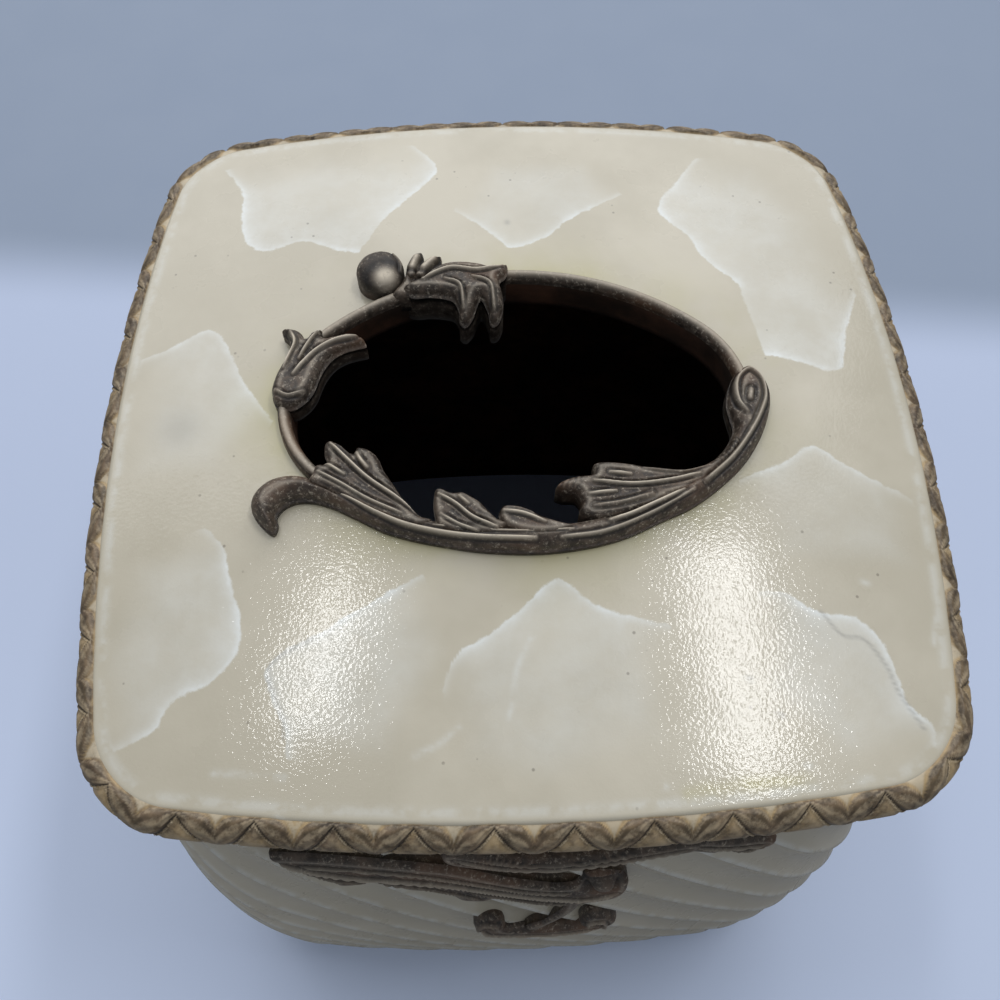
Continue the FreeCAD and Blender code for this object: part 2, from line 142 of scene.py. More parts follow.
def enclosed(places: Array, line: Array) -> Array:
    """Tell which places lie inside a closed line.

    Args:
        places: Places in a plane.
        line: Points of the closed line.

    Returns:
        True for each place inside.
    """
    within = np.zeros(len(places), bool)
    for (x0, y0), (x1, y1) in zip(line, np.roll(line, -1, axis=0)):
        if y0 == y1:
            continue
        crosses = (y0 > places[:, 1]) != (y1 > places[:, 1])
        within ^= crosses & (places[:, 0] < x0 + (places[:, 1] - y0) * (x1 - x0) / (y1 - y0))
    return within


def eased(value: Array, low: float, high: float) -> Array:
    """Rise smoothly from 0 at low to 1 at high."""
    t = np.clip((value - low) / (high - low), 0, 1)
    return t * t * (3 - 2 * t)


def bell(away: Array, width: float) -> Array:
    """Fall smoothly from 1 at no distance to nothing beyond a width."""
    return np.exp(-(away / width) ** 2)


def arc_radius(half_chord: float | Array, rise: float | Array) -> float | Array:
    """Radius of an arc from half its chord and its rise."""
    return (half_chord ** 2 + rise ** 2) / (2 * rise)


@dataclass(frozen=True)
class ArcChain:
    """A closed outline of tangent arcs, from the middle of the front towards +X."""

    arcs: tuple[tuple[float, float, float, float, float], ...]
    reach_steps: int = 4000

    def walk(self, shares: Array) -> tuple[Array, Array]:
        """Find points at shares of the way round.

        Args:
            shares: Shares of the outline's length.

        Returns:
            Points and outward directions.
        """
        x, y, radius, start, sweep = np.array(self.arcs).T
        ends = np.concatenate([[0], np.cumsum(radius * sweep)])
        way = (shares % 1.0) * ends[-1]
        arc = np.clip(np.searchsorted(ends, way, side="right") - 1, 0, len(radius) - 1)
        angle = start[arc] + (way - ends[arc]) / radius[arc]
        outward = np.c_[np.cos(angle), np.sin(angle)]
        return np.c_[x[arc], y[arc]] + outward * radius[arc][:, None], outward

    def length(self) -> float:
        """Length once round."""
        return sum(radius * sweep for _, _, radius, _, sweep in self.arcs)

    def reach(self, angles: Array, offset: float = 0.0) -> Array:
        """Measure from the middle to the outline.

        Args:
            angles: Bearings from +X.
            offset: How far outside the outline the distance ends.

        Returns:
            The distance at each angle.
        """
        points, outward = self.walk(np.linspace(0, 1, self.reach_steps, endpoint=False))
        points = points + outward * offset
        bearing = np.arctan2(points[:, 1], points[:, 0])
        return np.interp(angles, bearing, np.hypot(*points.T), period=2 * math.pi)


def bowed_square(half: float, bow: float, corner: float) -> ArcChain:
    """Outline of a square with bowed sides and round corners.

    Args:
        half: Half the width across the middles of the sides.
        bow: How far a side's middle stands out from its ends.
        corner: Radius of the corners.

    Returns:
        The outline.
    """
    side = arc_radius(half - bow, bow)
    middle = half - side
    near = (middle + math.sqrt(2 * (side - corner) ** 2 - middle ** 2)) / 2
    turn = math.atan2(near, near - middle)
    quarter = math.pi / 2
    arcs = []
    for index in range(4):
        facing = (index - 1) * quarter
        ahead = (math.cos(facing), math.sin(facing))
        beside = (math.cos(facing + quarter), math.sin(facing + quarter))
        arcs.append((ahead[0] * middle, ahead[1] * middle, side, facing, turn))
        arcs.append(((ahead[0] + beside[0]) * near, (ahead[1] + beside[1]) * near, corner,
                     facing + turn, quarter - 2 * turn))
        arcs.append((beside[0] * middle, beside[1] * middle, side, facing + quarter - turn, turn))
    return ArcChain(tuple(arcs))


def oval(half_long: float, half_short: float, end: float) -> ArcChain:
    """Outline of a four-centred oval.

    Args:
        half_long: Half its length, along X.
        half_short: Half its width, along Y.
        end: Radius of its ends.

    Returns:
        The outline.
    """
    flank = (half_long ** 2 - 2 * half_long * end + half_short ** 2) / (2 * (half_short - end))
    tip, back = half_long - end, flank - half_short
    spread = math.atan2(back, tip)
    reach = math.pi / 2 - spread
    return ArcChain((
        (0, back, flank, -math.pi / 2, reach),
        (tip, 0, end, -spread, 2 * spread),
        (0, -back, flank, spread, 2 * reach),
        (-tip, 0, end, math.pi - spread, 2 * spread),
        (0, back, flank, math.pi + spread, reach),
    ))


@dataclass(frozen=True)
class Grain:
    """Noise with so many cells to the metre, and the band over which it rises to its top."""

    scale: float
    detail: float
    rough: float
    low: float
    high: float
    top: float = 1.0


@dataclass(frozen=True)
class Tooth:
    """Fine bumps: noise with so many cells to the metre, a depth in millimetres and a strength."""

    scale: float
    detail: float
    rough: float
    depth: float
    strength: float


class Shader:
    """A material whose nodes are added one by one, ending in one surface shader."""

    def __init__(self, name: str) -> None:
        """Start a material with an empty surface.

        Args:
            name: Name of the material.
        """
        self.material = bpy.data.materials.new(name)
        self.material.use_nodes = True
        self.tree = self.material.node_tree
        self.surface = self.tree.nodes["Principled BSDF"]
        self.where = self.tree.nodes.new("ShaderNodeTexCoord").outputs["Object"]

    def feed(self, node: bpy.types.Node, inputs: dict) -> None:
        """Set or connect inputs of a node.

        Args:
            node: The node.
            inputs: Values or sockets for its inputs, by name or place.
        """
        for key, value in inputs.items():
            if isinstance(value, Socket):
                self.tree.links.new(value, node.inputs[key])
            else:
                node.inputs[key].default_value = value

    def node(self, kind: str, inputs: dict, **settings: object) -> bpy.types.Node:
        """Add a node.

        Args:
            kind: Type of the node.
            inputs: Values or sockets for its inputs, by name or place.
            settings: Properties of the node.

        Returns:
            The node.
        """
        made = self.tree.nodes.new(kind)
        for key, value in settings.items():
            setattr(made, key, value)
        self.feed(made, inputs)
        return made

    def dressed(self, dress: Dress) -> Socket:
        """Read a vertex value."""
        return self.node("ShaderNodeAttribute", {}, attribute_name=dress.value).outputs["Fac"]

    def noise(self, scale: float, detail: float = 3.0, rough: float = 0.55) -> Socket:
        """Cloudy noise with so many cells to the metre."""
        inputs = {"Vector": self.where, "Scale": scale, "Detail": detail, "Roughness": rough}
        return self.node("ShaderNodeTexNoise", inputs).outputs["Fac"]

    def spots(self, scale: float) -> Socket:
        """Distance to scattered points, so many to the metre."""
        inputs = {"Vector": self.where, "Scale": scale}
        return self.node("ShaderNodeTexVoronoi", inputs).outputs["Distance"]

    def rise(self, value: Socket, low: float, high: float, top: float = 1.0) -> Socket:
        """Rise smoothly from 0 at low to a top value at high."""
        inputs = {"Value": value, "From Min": low, "From Max": high, "To Min": 0.0, "To Max": top}
        return self.node("ShaderNodeMapRange", inputs, interpolation_type="SMOOTHSTEP").outputs["Result"]

    def sum(self, first: object, second: object, kind: str = "ADD") -> Socket:
        """Combine two values."""
        return self.node("ShaderNodeMath", {0: first, 1: second}, operation=kind).outputs["Value"]

    def times(self, first: object, second: object) -> Socket:
        """Multiply two values."""
        return self.sum(first, second, "MULTIPLY")

    def mix(self, share: object, under: object, over: object) -> Socket:
        """Lay one colour over another by a share."""
        inputs = {0: share, 6: under, 7: over}
        return self.node("ShaderNodeMix", inputs, data_type="RGBA").outputs[2]

    def bump(self, height: Socket, depth: float, strength: float) -> Socket:
        """Bump of a depth in millimetres."""
        inputs = {"Height": height, "Distance": depth * MM, "Strength": strength}
        return self.node("ShaderNodeBump", inputs).outputs["Normal"]

    def grain(self, grain: Grain) -> Socket:
        """Noise that rises over its band."""
        noise = self.noise(grain.scale, grain.detail, grain.rough)
        return self.rise(noise, grain.low, grain.high, grain.top)

    def tooth(self, tooth: Tooth) -> Socket:
        """Fine bumps."""
        return self.bump(self.noise(tooth.scale, tooth.detail, tooth.rough), tooth.depth, tooth.strength)

    def finish(self, colour: object, values: dict) -> Material:
        """Connect the surface.

        Args:
            colour: Base colour.
            values: Other values or sockets of the surface, by name.

        Returns:
            The material.
        """
        self.feed(self.surface, {"Base Color": colour, **values})
        return self.material


@dataclass(frozen=True)
class IvoryResin:
    """Glazed ivory resin, clouded, with pale shards painted under the glaze."""

    plain: Colour = (0.510, 0.466, 0.364, 1)
    clouded: Colour = (0.595, 0.548, 0.440, 1)
    dull: Colour = (0.430, 0.388, 0.294, 1)
    # Pale colour of the shards, the deck's streaks and filler, and the painted highlights on the sleeve's
    # ridges.
    pale: Colour = (0.800, 0.830, 0.820, 1)
    glaze: Colour = (0.470, 0.430, 0.220, 1)
    speck: Colour = (0.100, 0.080, 0.060, 1)
    grey: Colour = (0.300, 0.290, 0.260, 1)
    clouds: Grain = Grain(22, 5, 0.6, 0.42, 0.68)
    blotches: Grain = Grain(11, 2, 0.55, 0.52, 0.75, 0.7)
    ragged: tuple[float, float, float] = (420, 4, 0.7)
    ragged_middle: float = 0.5
    ragged_reach: float = 1.6
    shard_edge: tuple[float, float] = (-0.15, 0.35)
    wash: Grain = Grain(120, 4, 0.65, 0.30, 0.75)
    wash_least: float = 0.45
    glazing: Grain = Grain(60, 3, 0.55, 0.35, 0.7)
    broken: Grain = Grain(230, 3, 0.65, 0.34, 0.60)
    speck_zones: Grain = Grain(70, 2, 0.55, 0.56, 0.62)
    speck_scale: float = 330
    speck_edge: tuple[float, float] = (0.11, 0.06)
    speck_share: float = 0.5
    sheen: Grain = Grain(90, 4, 0.55, 0.3, 0.7, 0.16)
    rough: float = 0.24
    tooth: Tooth = Tooth(1500, 3, 0.7, 0.05, 0.35)
    glitter: Tooth = Tooth(1900, 1, 0.5, 0.045, 0.7)
    coat: float = 0.6
    coat_rough: float = 0.05
    specular: float = 0.35

    def make(self, painted: bool) -> Material:
        """Make the finish.

        Args:
            painted: Whether the surface has the vertex values of the shards.

        Returns:
            The material.
        """
        shader = Shader("ivory_resin_painted" if painted else "ivory_resin_plain")
        colour = shader.mix(shader.grain(self.clouds), self.plain, self.clouded)
        colour = shader.mix(shader.grain(self.blotches), colour, self.dull)
        if painted:
            ragged = shader.sum(shader.noise(*self.ragged), self.ragged_middle, "SUBTRACT")
            reach = shader.sum(shader.dressed(Dress.SHARD_REACH), shader.times(ragged, self.ragged_reach))
            wash = shader.sum(shader.times(shader.grain(self.wash), 1 - self.wash_least), self.wash_least)
            body = shader.times(shader.dressed(Dress.SHARD_PALE), wash)
            patch = shader.times(shader.rise(reach, *self.shard_edge), body)
            glazed = shader.times(shader.dressed(Dress.GLAZE), shader.grain(self.glazing))
            colour = shader.mix(glazed, colour, self.glaze)
            colour = shader.mix(patch, colour, self.pale)
            colour = shader.mix(shader.dressed(Dress.SMUDGE), colour, self.grey)
        # Pale streaks and filler on the deck, and painted highlights along the sleeve's flute ridges.
        streak = shader.times(shader.dressed(Dress.STREAK), shader.grain(self.broken))
        colour = shader.mix(streak, colour, self.pale)
        spots = shader.rise(shader.spots(self.speck_scale), *self.speck_edge)
        specks = shader.times(shader.grain(self.speck_zones), spots)
        colour = shader.mix(shader.times(specks, self.speck_share), colour, self.speck)
        return shader.finish(colour, {
            "Roughness": shader.sum(shader.grain(self.sheen), self.rough),
            "Normal": shader.tooth(self.tooth), "Specular IOR Level": self.specular,
            "Coat Weight": self.coat, "Coat Roughness": self.coat_rough,
            "Coat Normal": shader.tooth(self.glitter),
        })


@dataclass(frozen=True)
class BronzePaint:
    """Dark brown paint over carved leaves, rubbed pale along the veins."""

    deep: Colour = (0.010, 0.008, 0.007, 1)
    body: Colour = (0.034, 0.025, 0.019, 1)
    dusty: Colour = (0.105, 0.078, 0.058, 1)
    reddish: Colour = (0.150, 0.085, 0.050, 1)
    rubbed: Colour = (0.740, 0.650, 0.520, 1)
    dust: Grain = Grain(420, 6, 0.75, 0.40, 0.64)
    red_zones: Grain = Grain(75, 3, 0.55, 0.48, 0.68, 0.75)
    flecks: Grain = Grain(1300, 5, 0.8, 0.52, 0.70, 0.50)
    patchy: Grain = Grain(420, 4, 0.7, 0.10, 0.42)
    tooth: Tooth = Tooth(750, 5, 0.75, 0.25, 0.6)
    rough: float = 0.40
    dust_rough: float = 0.18
    specular: float = 0.4

    def make(self) -> Material:
        """Make the finish.

        Returns:
            The material.
        """
        shader = Shader("bronze_paint_rubbed")
        dust = shader.grain(self.dust)
        colour = shader.mix(dust, self.body, self.dusty)
        colour = shader.mix(shader.grain(self.red_zones), colour, self.reddish)
        colour = shader.mix(shader.grain(self.flecks), colour, self.rubbed)
        worn = shader.times(shader.dressed(Dress.WORN), shader.grain(self.patchy))
        colour = shader.mix(worn, colour, self.rubbed)
        # Dark in the hollows and grooves, and painted shade on the carvings' sides and undersides and on the
        # collar.
        colour = shader.mix(shader.dressed(Dress.HOLLOW), colour, self.deep)
        rough = shader.sum(shader.rise(dust, 0.0, 1.0, self.dust_rough), self.rough)
        return shader.finish(colour, {"Roughness": rough, "Normal": shader.tooth(self.tooth),
                                      "Specular IOR Level": self.specular})


@dataclass(frozen=True)
class GiltBorder:
    """Brown paint with gold rubbed over the ribbon border."""

    deep: Colour = (0.014, 0.010, 0.007, 1)
    brown: Colour = (0.185, 0.128, 0.080, 1)
    dark: Colour = (0.042, 0.028, 0.017, 1)
    gold: Colour = (0.510, 0.370, 0.195, 1)
    bright: Colour = (0.760, 0.620, 0.420, 1)
    cream: Colour = (0.640, 0.560, 0.420, 1)
    mottle: Grain = Grain(300, 5, 0.7, 0.36, 0.66)
    gilding: Grain = Grain(190, 4, 0.7, 0.30, 0.62)
    streaky: Grain = Grain(340, 4, 0.7, 0.24, 0.52)
    rubbing: Grain = Grain(520, 4, 0.7, 0.34, 0.62)
    tooth: Tooth = Tooth(1100, 4, 0.7, 0.10, 0.45)
    rough: float = 0.50
    gilt_rough: float = -0.12
    specular: float = 0.4

    def make(self) -> Material:
        """Make the finish.

        Returns:
            The material.
        """
        shader = Shader("gilt_border_rubbed")
        colour = shader.mix(shader.grain(self.mottle), self.dark, self.brown)
        gilding = shader.grain(self.gilding)
        colour = shader.mix(shader.times(shader.dressed(Dress.GOLD), gilding), colour, self.gold)
        streaky = shader.grain(self.streaky)
        colour = shader.mix(shader.times(shader.dressed(Dress.CREAM), streaky), colour, self.cream)
        rubbed = shader.grain(self.rubbing)
        colour = shader.mix(shader.times(shader.dressed(Dress.WORN), rubbed), colour, self.bright)
        # Dark in the grooves and grain, and painted shade under the band's lower edge.
        colour = shader.mix(shader.dressed(Dress.HOLLOW), colour, self.deep)
        rough = shader.sum(shader.rise(gilding, 0.0, 1.0, self.gilt_rough), self.rough)
        return shader.finish(colour, {"Roughness": rough, "Normal": shader.tooth(self.tooth),
                                      "Specular IOR Level": self.specular})


@dataclass(frozen=True)
class InsideBrown:
    """Mottled, very dark reddish brown inside the sleeve and the collar."""

    deep: Colour = (0.022, 0.014, 0.010, 1)
    reddish: Colour = (0.090, 0.042, 0.025, 1)
    wash: Grain = Grain(45, 5, 0.65, 0.38, 0.66)
    tooth: Tooth = Tooth(500, 4, 0.7, 0.15, 0.4)
    sheen: Grain = Grain(80, 3, 0.55, 0.3, 0.7, 0.2)
    rough: float = 0.55
    specular: float = 0.2

    def make(self) -> Material:
        """Make the finish.

        Returns:
            The material.
        """
        shader = Shader("inside_brown_wash")
        colour = shader.mix(shader.grain(self.wash), self.deep, self.reddish)
        rough = shader.sum(shader.grain(self.sheen), self.rough)
        return shader.finish(colour, {"Roughness": rough, "Normal": shader.tooth(self.tooth),
                                      "Specular IOR Level": self.specular})


@dataclass(frozen=True)
class FloorPaper:
    """Pale blue paper with painted light that makes it lighter towards the front, duller past the edge of the
    sheet that the cover stands on.
    """

    sheet: Colour = (0.540, 0.620, 0.810, 1)
    # Painted light: the floor grows lighter towards the front, from sheet to this colour over the span of Y
    # given by near.
    light: Colour = (0.690, 0.790, 1.000, 1)
    near: tuple[float, float] = (0.10, -0.25)
    beyond: Colour = (0.300, 0.360, 0.470, 1)
    bounce: Colour = (0.230, 0.235, 0.250, 1)
    edge_at: float = 0.154
    edge_lean: float = -0.10
    edge_blur: float = 0.020
    drift_scale: float = 9
    tooth: Tooth = Tooth(900, 3, 0.55, 0.05, 0.2)
    sheen: Grain = Grain(30, 2, 0.55, 0.3, 0.7, 0.1)
    rough: float = 0.6
    specular: float = 0.25

    def make(self) -> Material:
        """Make the finish.

        Returns:
            The material.
        """
        shader = Shader("floor_paper")
        parts = shader.node("ShaderNodeSeparateXYZ", {0: shader.where}).outputs
        behind = shader.sum(parts["Y"], shader.times(parts["X"], -self.edge_lean))
        uneven = shader.sum(parts["Y"], shader.times(shader.noise(self.drift_scale), self.edge_blur))
        # Painted light: lighter towards the front.
        colour = shader.mix(shader.rise(uneven, *self.near), self.sheet, self.light)
        past = shader.rise(behind, self.edge_at - self.edge_blur, self.edge_at + self.edge_blur)
        colour = shader.mix(past, colour, self.beyond)
        seen = shader.node("ShaderNodeLightPath", {}).outputs["Is Camera Ray"]
        colour = shader.mix(seen, self.bounce, colour)
        rough = shader.sum(shader.grain(self.sheen), self.rough)
        return shader.finish(colour, {"Roughness": rough, "Normal": shader.tooth(self.tooth),
                                      "Specular IOR Level": self.specular})


@dataclass
class Form:
    """A mesh in the making: vertices in millimetres, faces and vertex values."""

    vertices: Array
    faces: list
    values: dict[Dress, Array] = field(default_factory=dict)
    inner: Array | None = None

    def joined(self, other: "Form") -> "Form":
        """Add another form to this one.

        Args:
            other: The form to add.

        Returns:
            The joined form.
        """
        shift = len(self.vertices)
        faces = self.faces + [tuple(corner + shift for corner in face) for face in other.faces]
        values = {key: np.concatenate([self.values[key], other.values[key]]) for key in self.values}
        return Form(np.vstack([self.vertices, other.vertices]), faces, values)

    def turned(self, wall: Wall) -> "Form":
        """Copy the form round the middle to another wall."""
        turn = np.array(Matrix.Rotation(wall.value * math.pi / 2, 3, "Z"))
        return Form(self.vertices @ turn.T, self.faces, self.values)

    def mesh(self, name: str, finishes: list[Material]) -> bpy.types.Mesh:
        """Make the mesh.

        Args:
            name: Name of the mesh.
            finishes: Materials; the second is for the faces marked as inner.

        Returns:
            The mesh, in metres.
        """
        mesh = bpy.data.meshes.new(name)
        mesh.from_pydata((self.vertices * MM).tolist(), [], self.faces)
        for dress, values in self.values.items():
            layer = mesh.attributes.new(dress.value, "FLOAT", "POINT")
            layer.data.foreach_set("value", np.asarray(values, np.float32))
        for finish in finishes:
            mesh.materials.append(finish)
        if self.inner is not None:
            mesh.polygons.foreach_set("material_index", self.inner.astype(np.int32))
        mesh.polygons.foreach_set("use_smooth", np.ones(len(self.faces), bool))
        mesh.update()
        return mesh


def place_piece(node: str, form: Form, finishes: list[Material]) -> None:
    """Put a piece in the place of its solid.

    Args:
        node: Node that the piece stands for.
        form: Its form.
        finishes: Its materials.
    """
    name = node + "_cast"
    piece = bpy.data.objects.new(name, form.mesh(name, finishes))
    bpy.context.collection.objects.link(piece)
    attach(piece, "root")
    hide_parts(node)
    log.info("%s: %d faces", name, len(form.faces))


def ring_faces(rings: int, columns: int) -> Array:
    """Four-sided faces between rings of points, the last of which joins the first.

    Args:
        rings: Number of rings.
        columns: Points in each ring.

    Returns:
        Corner numbers of the faces, ring by ring.
    """
    ring = np.arange(rings)[:, None]
    column = np.arange(columns)[None, :]
    here, above = ring * columns, (ring + 1) % rings * columns
    after = (column + 1) % columns
    corners = np.stack([here + column, here + after, above + after, above + column], axis=-1)
    return corners.reshape(-1, 4)


@dataclass
class Sleeve:
    """The bombe sleeve with its swirl flutes, open at both ends."""

    height: float = 151.0
    belly_height: float = 24.0
    wall: float = 5.0
    base: tuple[float, float, float] = (77.0, 6.3, 26.0)
    belly: tuple[float, float, float] = (82.93, 6.3, 34.0)
    neck: tuple[float, float, float] = (66.5, 6.0, 21.0)
    flutes: int = 40
    flute_depth: float = 1.4
    flute_lean: float = 40.0
    columns_per_flute: int = 18
    # Painted highlight along the flute ridges: its strength, and its width as a share of a flute.
    ridge_pale: float = 0.6
    ridge_share: float = 0.07
    rows: int = 100
    inner_rows: int = 24

    @property
    def columns(self) -> int:
        """Points once round."""
        return self.flutes * self.columns_per_flute

    def plan(self, height: float) -> tuple[float, float, float]:
        """Find the plan of the outside.

        Args:
            height: Height above the base.

        Returns:
            Half width, bow and corner radius.
        """
        if height >= self.belly_height:
            end, draw = self.neck, (height - self.belly_height) / (self.height - self.belly_height)
        else:
            end, draw = self.base, (self.belly_height - height) / self.belly_height
        return tuple(wide + (far - wide) * draw ** 2 for wide, far in zip(self.belly, end))

    def ring(self, height: float, depth: Array) -> Array:
        """Points once round the wall, turned with the lean of the flutes.

        Args:
            height: Height above the base.
            depth: How far each point lies inside the ridges.

        Returns:
            The points.
        """
        girth = bowed_square(*self.belly).length()
        start = math.tan(math.radians(self.flute_lean)) * (self.height - height) / girth
        shares = start + np.arange(self.columns) / self.columns
        points, outward = bowed_square(*self.plan(height)).walk(shares)
        return np.c_[points - outward * depth[:, None], np.full(self.columns, height)]

    def form(self) -> Form:
        """Draw both sides of the wall, joined at the base and the neck.

        Returns:
            The form, with painted highlights along its ridges.
        """
        across = np.arange(self.columns) % self.columns_per_flute / self.columns_per_flute
        flute = 4 * self.flute_depth * across * (1 - across)
        wall = np.full(self.columns, self.wall)
        rings = [self.ring(height, flute) for height in np.linspace(0, self.height, self.rows)]
        rings += [self.ring(height, wall) for height in np.linspace(self.height, 0, self.inner_rows)]
        faces = ring_faces(len(rings), self.columns)
        inner = faces[:, 0] // self.columns >= self.rows
        # Painted highlight along the ridges, carried in the streak values.
        ridge = self.ridge_pale * bell(np.minimum(across, 1 - across), self.ridge_share)
        plain = np.zeros(self.columns * self.inner_rows)
        values = {Dress.STREAK: np.concatenate([np.tile(ridge, self.rows), plain])}
        return Form(np.vstack(rings), faces.tolist(), values, inner)

    def on_wall(self, x: Array, z: Array) -> Array:
        """Find points of the front wall, over the ridges of its flutes.

        Args:
            x: Places across the wall.
            z: Heights.

        Returns:
            Points in space.
        """
        plans = np.array([self.plan(height) for height in np.clip(z, 0, self.height)])
        half, bow = plans[:, 0], plans[:, 1]
        radius = arc_radius(half - bow, bow)
        return np.c_[x, radius - half - np.sqrt(radius ** 2 - x ** 2), z]

    def off_wall(self, flat: Array, rise: Array) -> Array:
        """Carry a flat drawing onto the front wall.

        Args:
            flat: Places across and up the wall.
            rise: Height of each place off the wall.

        Returns:
            Points in space.
        """
        x, z = flat.T
        here = self.on_wall(x, z)
        normal = np.cross(self.on_wall(x + 1, z) - here, self.on_wall(x, z + 1) - here)
        return here + normal / np.linalg.norm(normal, axis=1)[:, None] * rise[:, None]

    def build(self) -> None:
        """Build and dress the sleeve."""
        finishes = [IvoryResin().make(False), InsideBrown().make()]
        place_piece("fluted_sleeve", self.form(), finishes)


@dataclass(frozen=True)
class Shard:
    """A pale patch: bright along its edges, fading where it is open."""

    edges: tuple[Places, ...]
    open_side: Places
    depth: float = 11.0
    strength: float = 0.9


SHARDS = (
    Shard((((-57, 59.5), (-52.5, 52), (-52, 44), (-50, 38), (-46.5, 36), (-39, 38), (-33, 35.5),
            (-28.5, 34.5)),
           ((-24, 43), (-17.5, 50.5), (-13.5, 56.5), (-18.5, 64))), ((-36, 65),), 12.0),
    Shard((((-10.5, 44.5), (-6.5, 41.5), (-3, 38), (0, 34.5), (7, 37), (12.5, 42), (23, 48.5)),),
          ((18, 60), (-4, 60)), 8.0, 0.75),
    Shard((((39, 59.5), (34.5, 53), (29.5, 44.5), (34.5, 37.5), (36.5, 32.5), (42.5, 25.5)),
           ((45, 9), (50, 8), (58, 6), (61, 14), (65, 23.5))), ((62, 45), (52, 60)), 12.0),
    Shard((((-67, 12), (-61.5, 14.5), (-55, 18), (-52.5, 16), (-49, 9), (-46, 3.5), (-41.5, -2.5)),),
          ((-50, -14), (-67, -14)), 9.0, 0.75),
    Shard((((-51.5, -22), (-48, -25.5), (-46.5, -31), (-44, -39.5), (-44.5, -43.5), (-48.5, -48),
            (-54, -50.5), (-55.5, -54), (-62, -57.5)),), ((-68, -45), (-64, -26)), 10.0, 0.85),
    Shard((((-16, -31.5), (-24.5, -36), (-31, -40), (-39, -44.5), (-40, -46.5), (-38.5, -51), (-36.5, -55.5),
            (-36, -59.5)),), ((-20, -62), (-10, -44)), 7.0, 0.8),
    Shard((((-13, -50), (-11.5, -45.5), (-5, -41), (-1, -38), (5, -33), (8, -34.5), (10.5, -37), (17, -39.5),
            (22.5, -41)),), ((22, -60), (2, -66), (-12, -62)), 8.0, 0.8),
    Shard((((37, -35.5), (41.5, -36), (46, -39), (52, -40), (55, -43), (57, -49), (58, -54), (61, -57),
            (61, -60)),), ((46, -64), (34, -52)), 7.0, 0.85),
    Shard((((36.5, -16), (45, -12.5), (50.5, -9.5), (55.5, -13), (66, -19.5)),),
          ((66, -34), (40, -32)), 7.0, 0.6),
)
STREAKS = (
    ((-17.0, -59.5), (-13.5, -58.0), (-10.5, -55.5)),
    ((-46.5, -61.0), (-41.0, -61.2), (-36.0, -62.0)),
    ((1.5, -41.0), (-1.5, -47.0), (-3.0, -54.5)),
    ((-36.9, -67.3), (-36.0, -67.8)),
    ((18.5, -64.9), (19.3, -64.9)),
    ((54.3, -34.2), (55.0, -34.4)),
    ((65.3, -40.0), (63.9, -44.3)),
    ((40.5, -62.5), (41.1, -62.5)),
)
SMEARS = (((22.5, -65.8), (30.7, -65.0), (40.6, -64.6)),)
DOTS = ((33.7, -49.5), (37.8, -55.1), (-0.1, 41.2), (-30.0, 3.5))
CREASES = (
    ((-33.0, -41.5), (-38.5, -44.5), (-39.5, -46.5), (-37.0, -53.0), (-36.5, -56.5)),
    ((46.5, -39.0), (49.5, -43.0), (52.5, -43.5), (55.5, -48.0), (56.5, -51.5), (59.5, -57.5)),
)


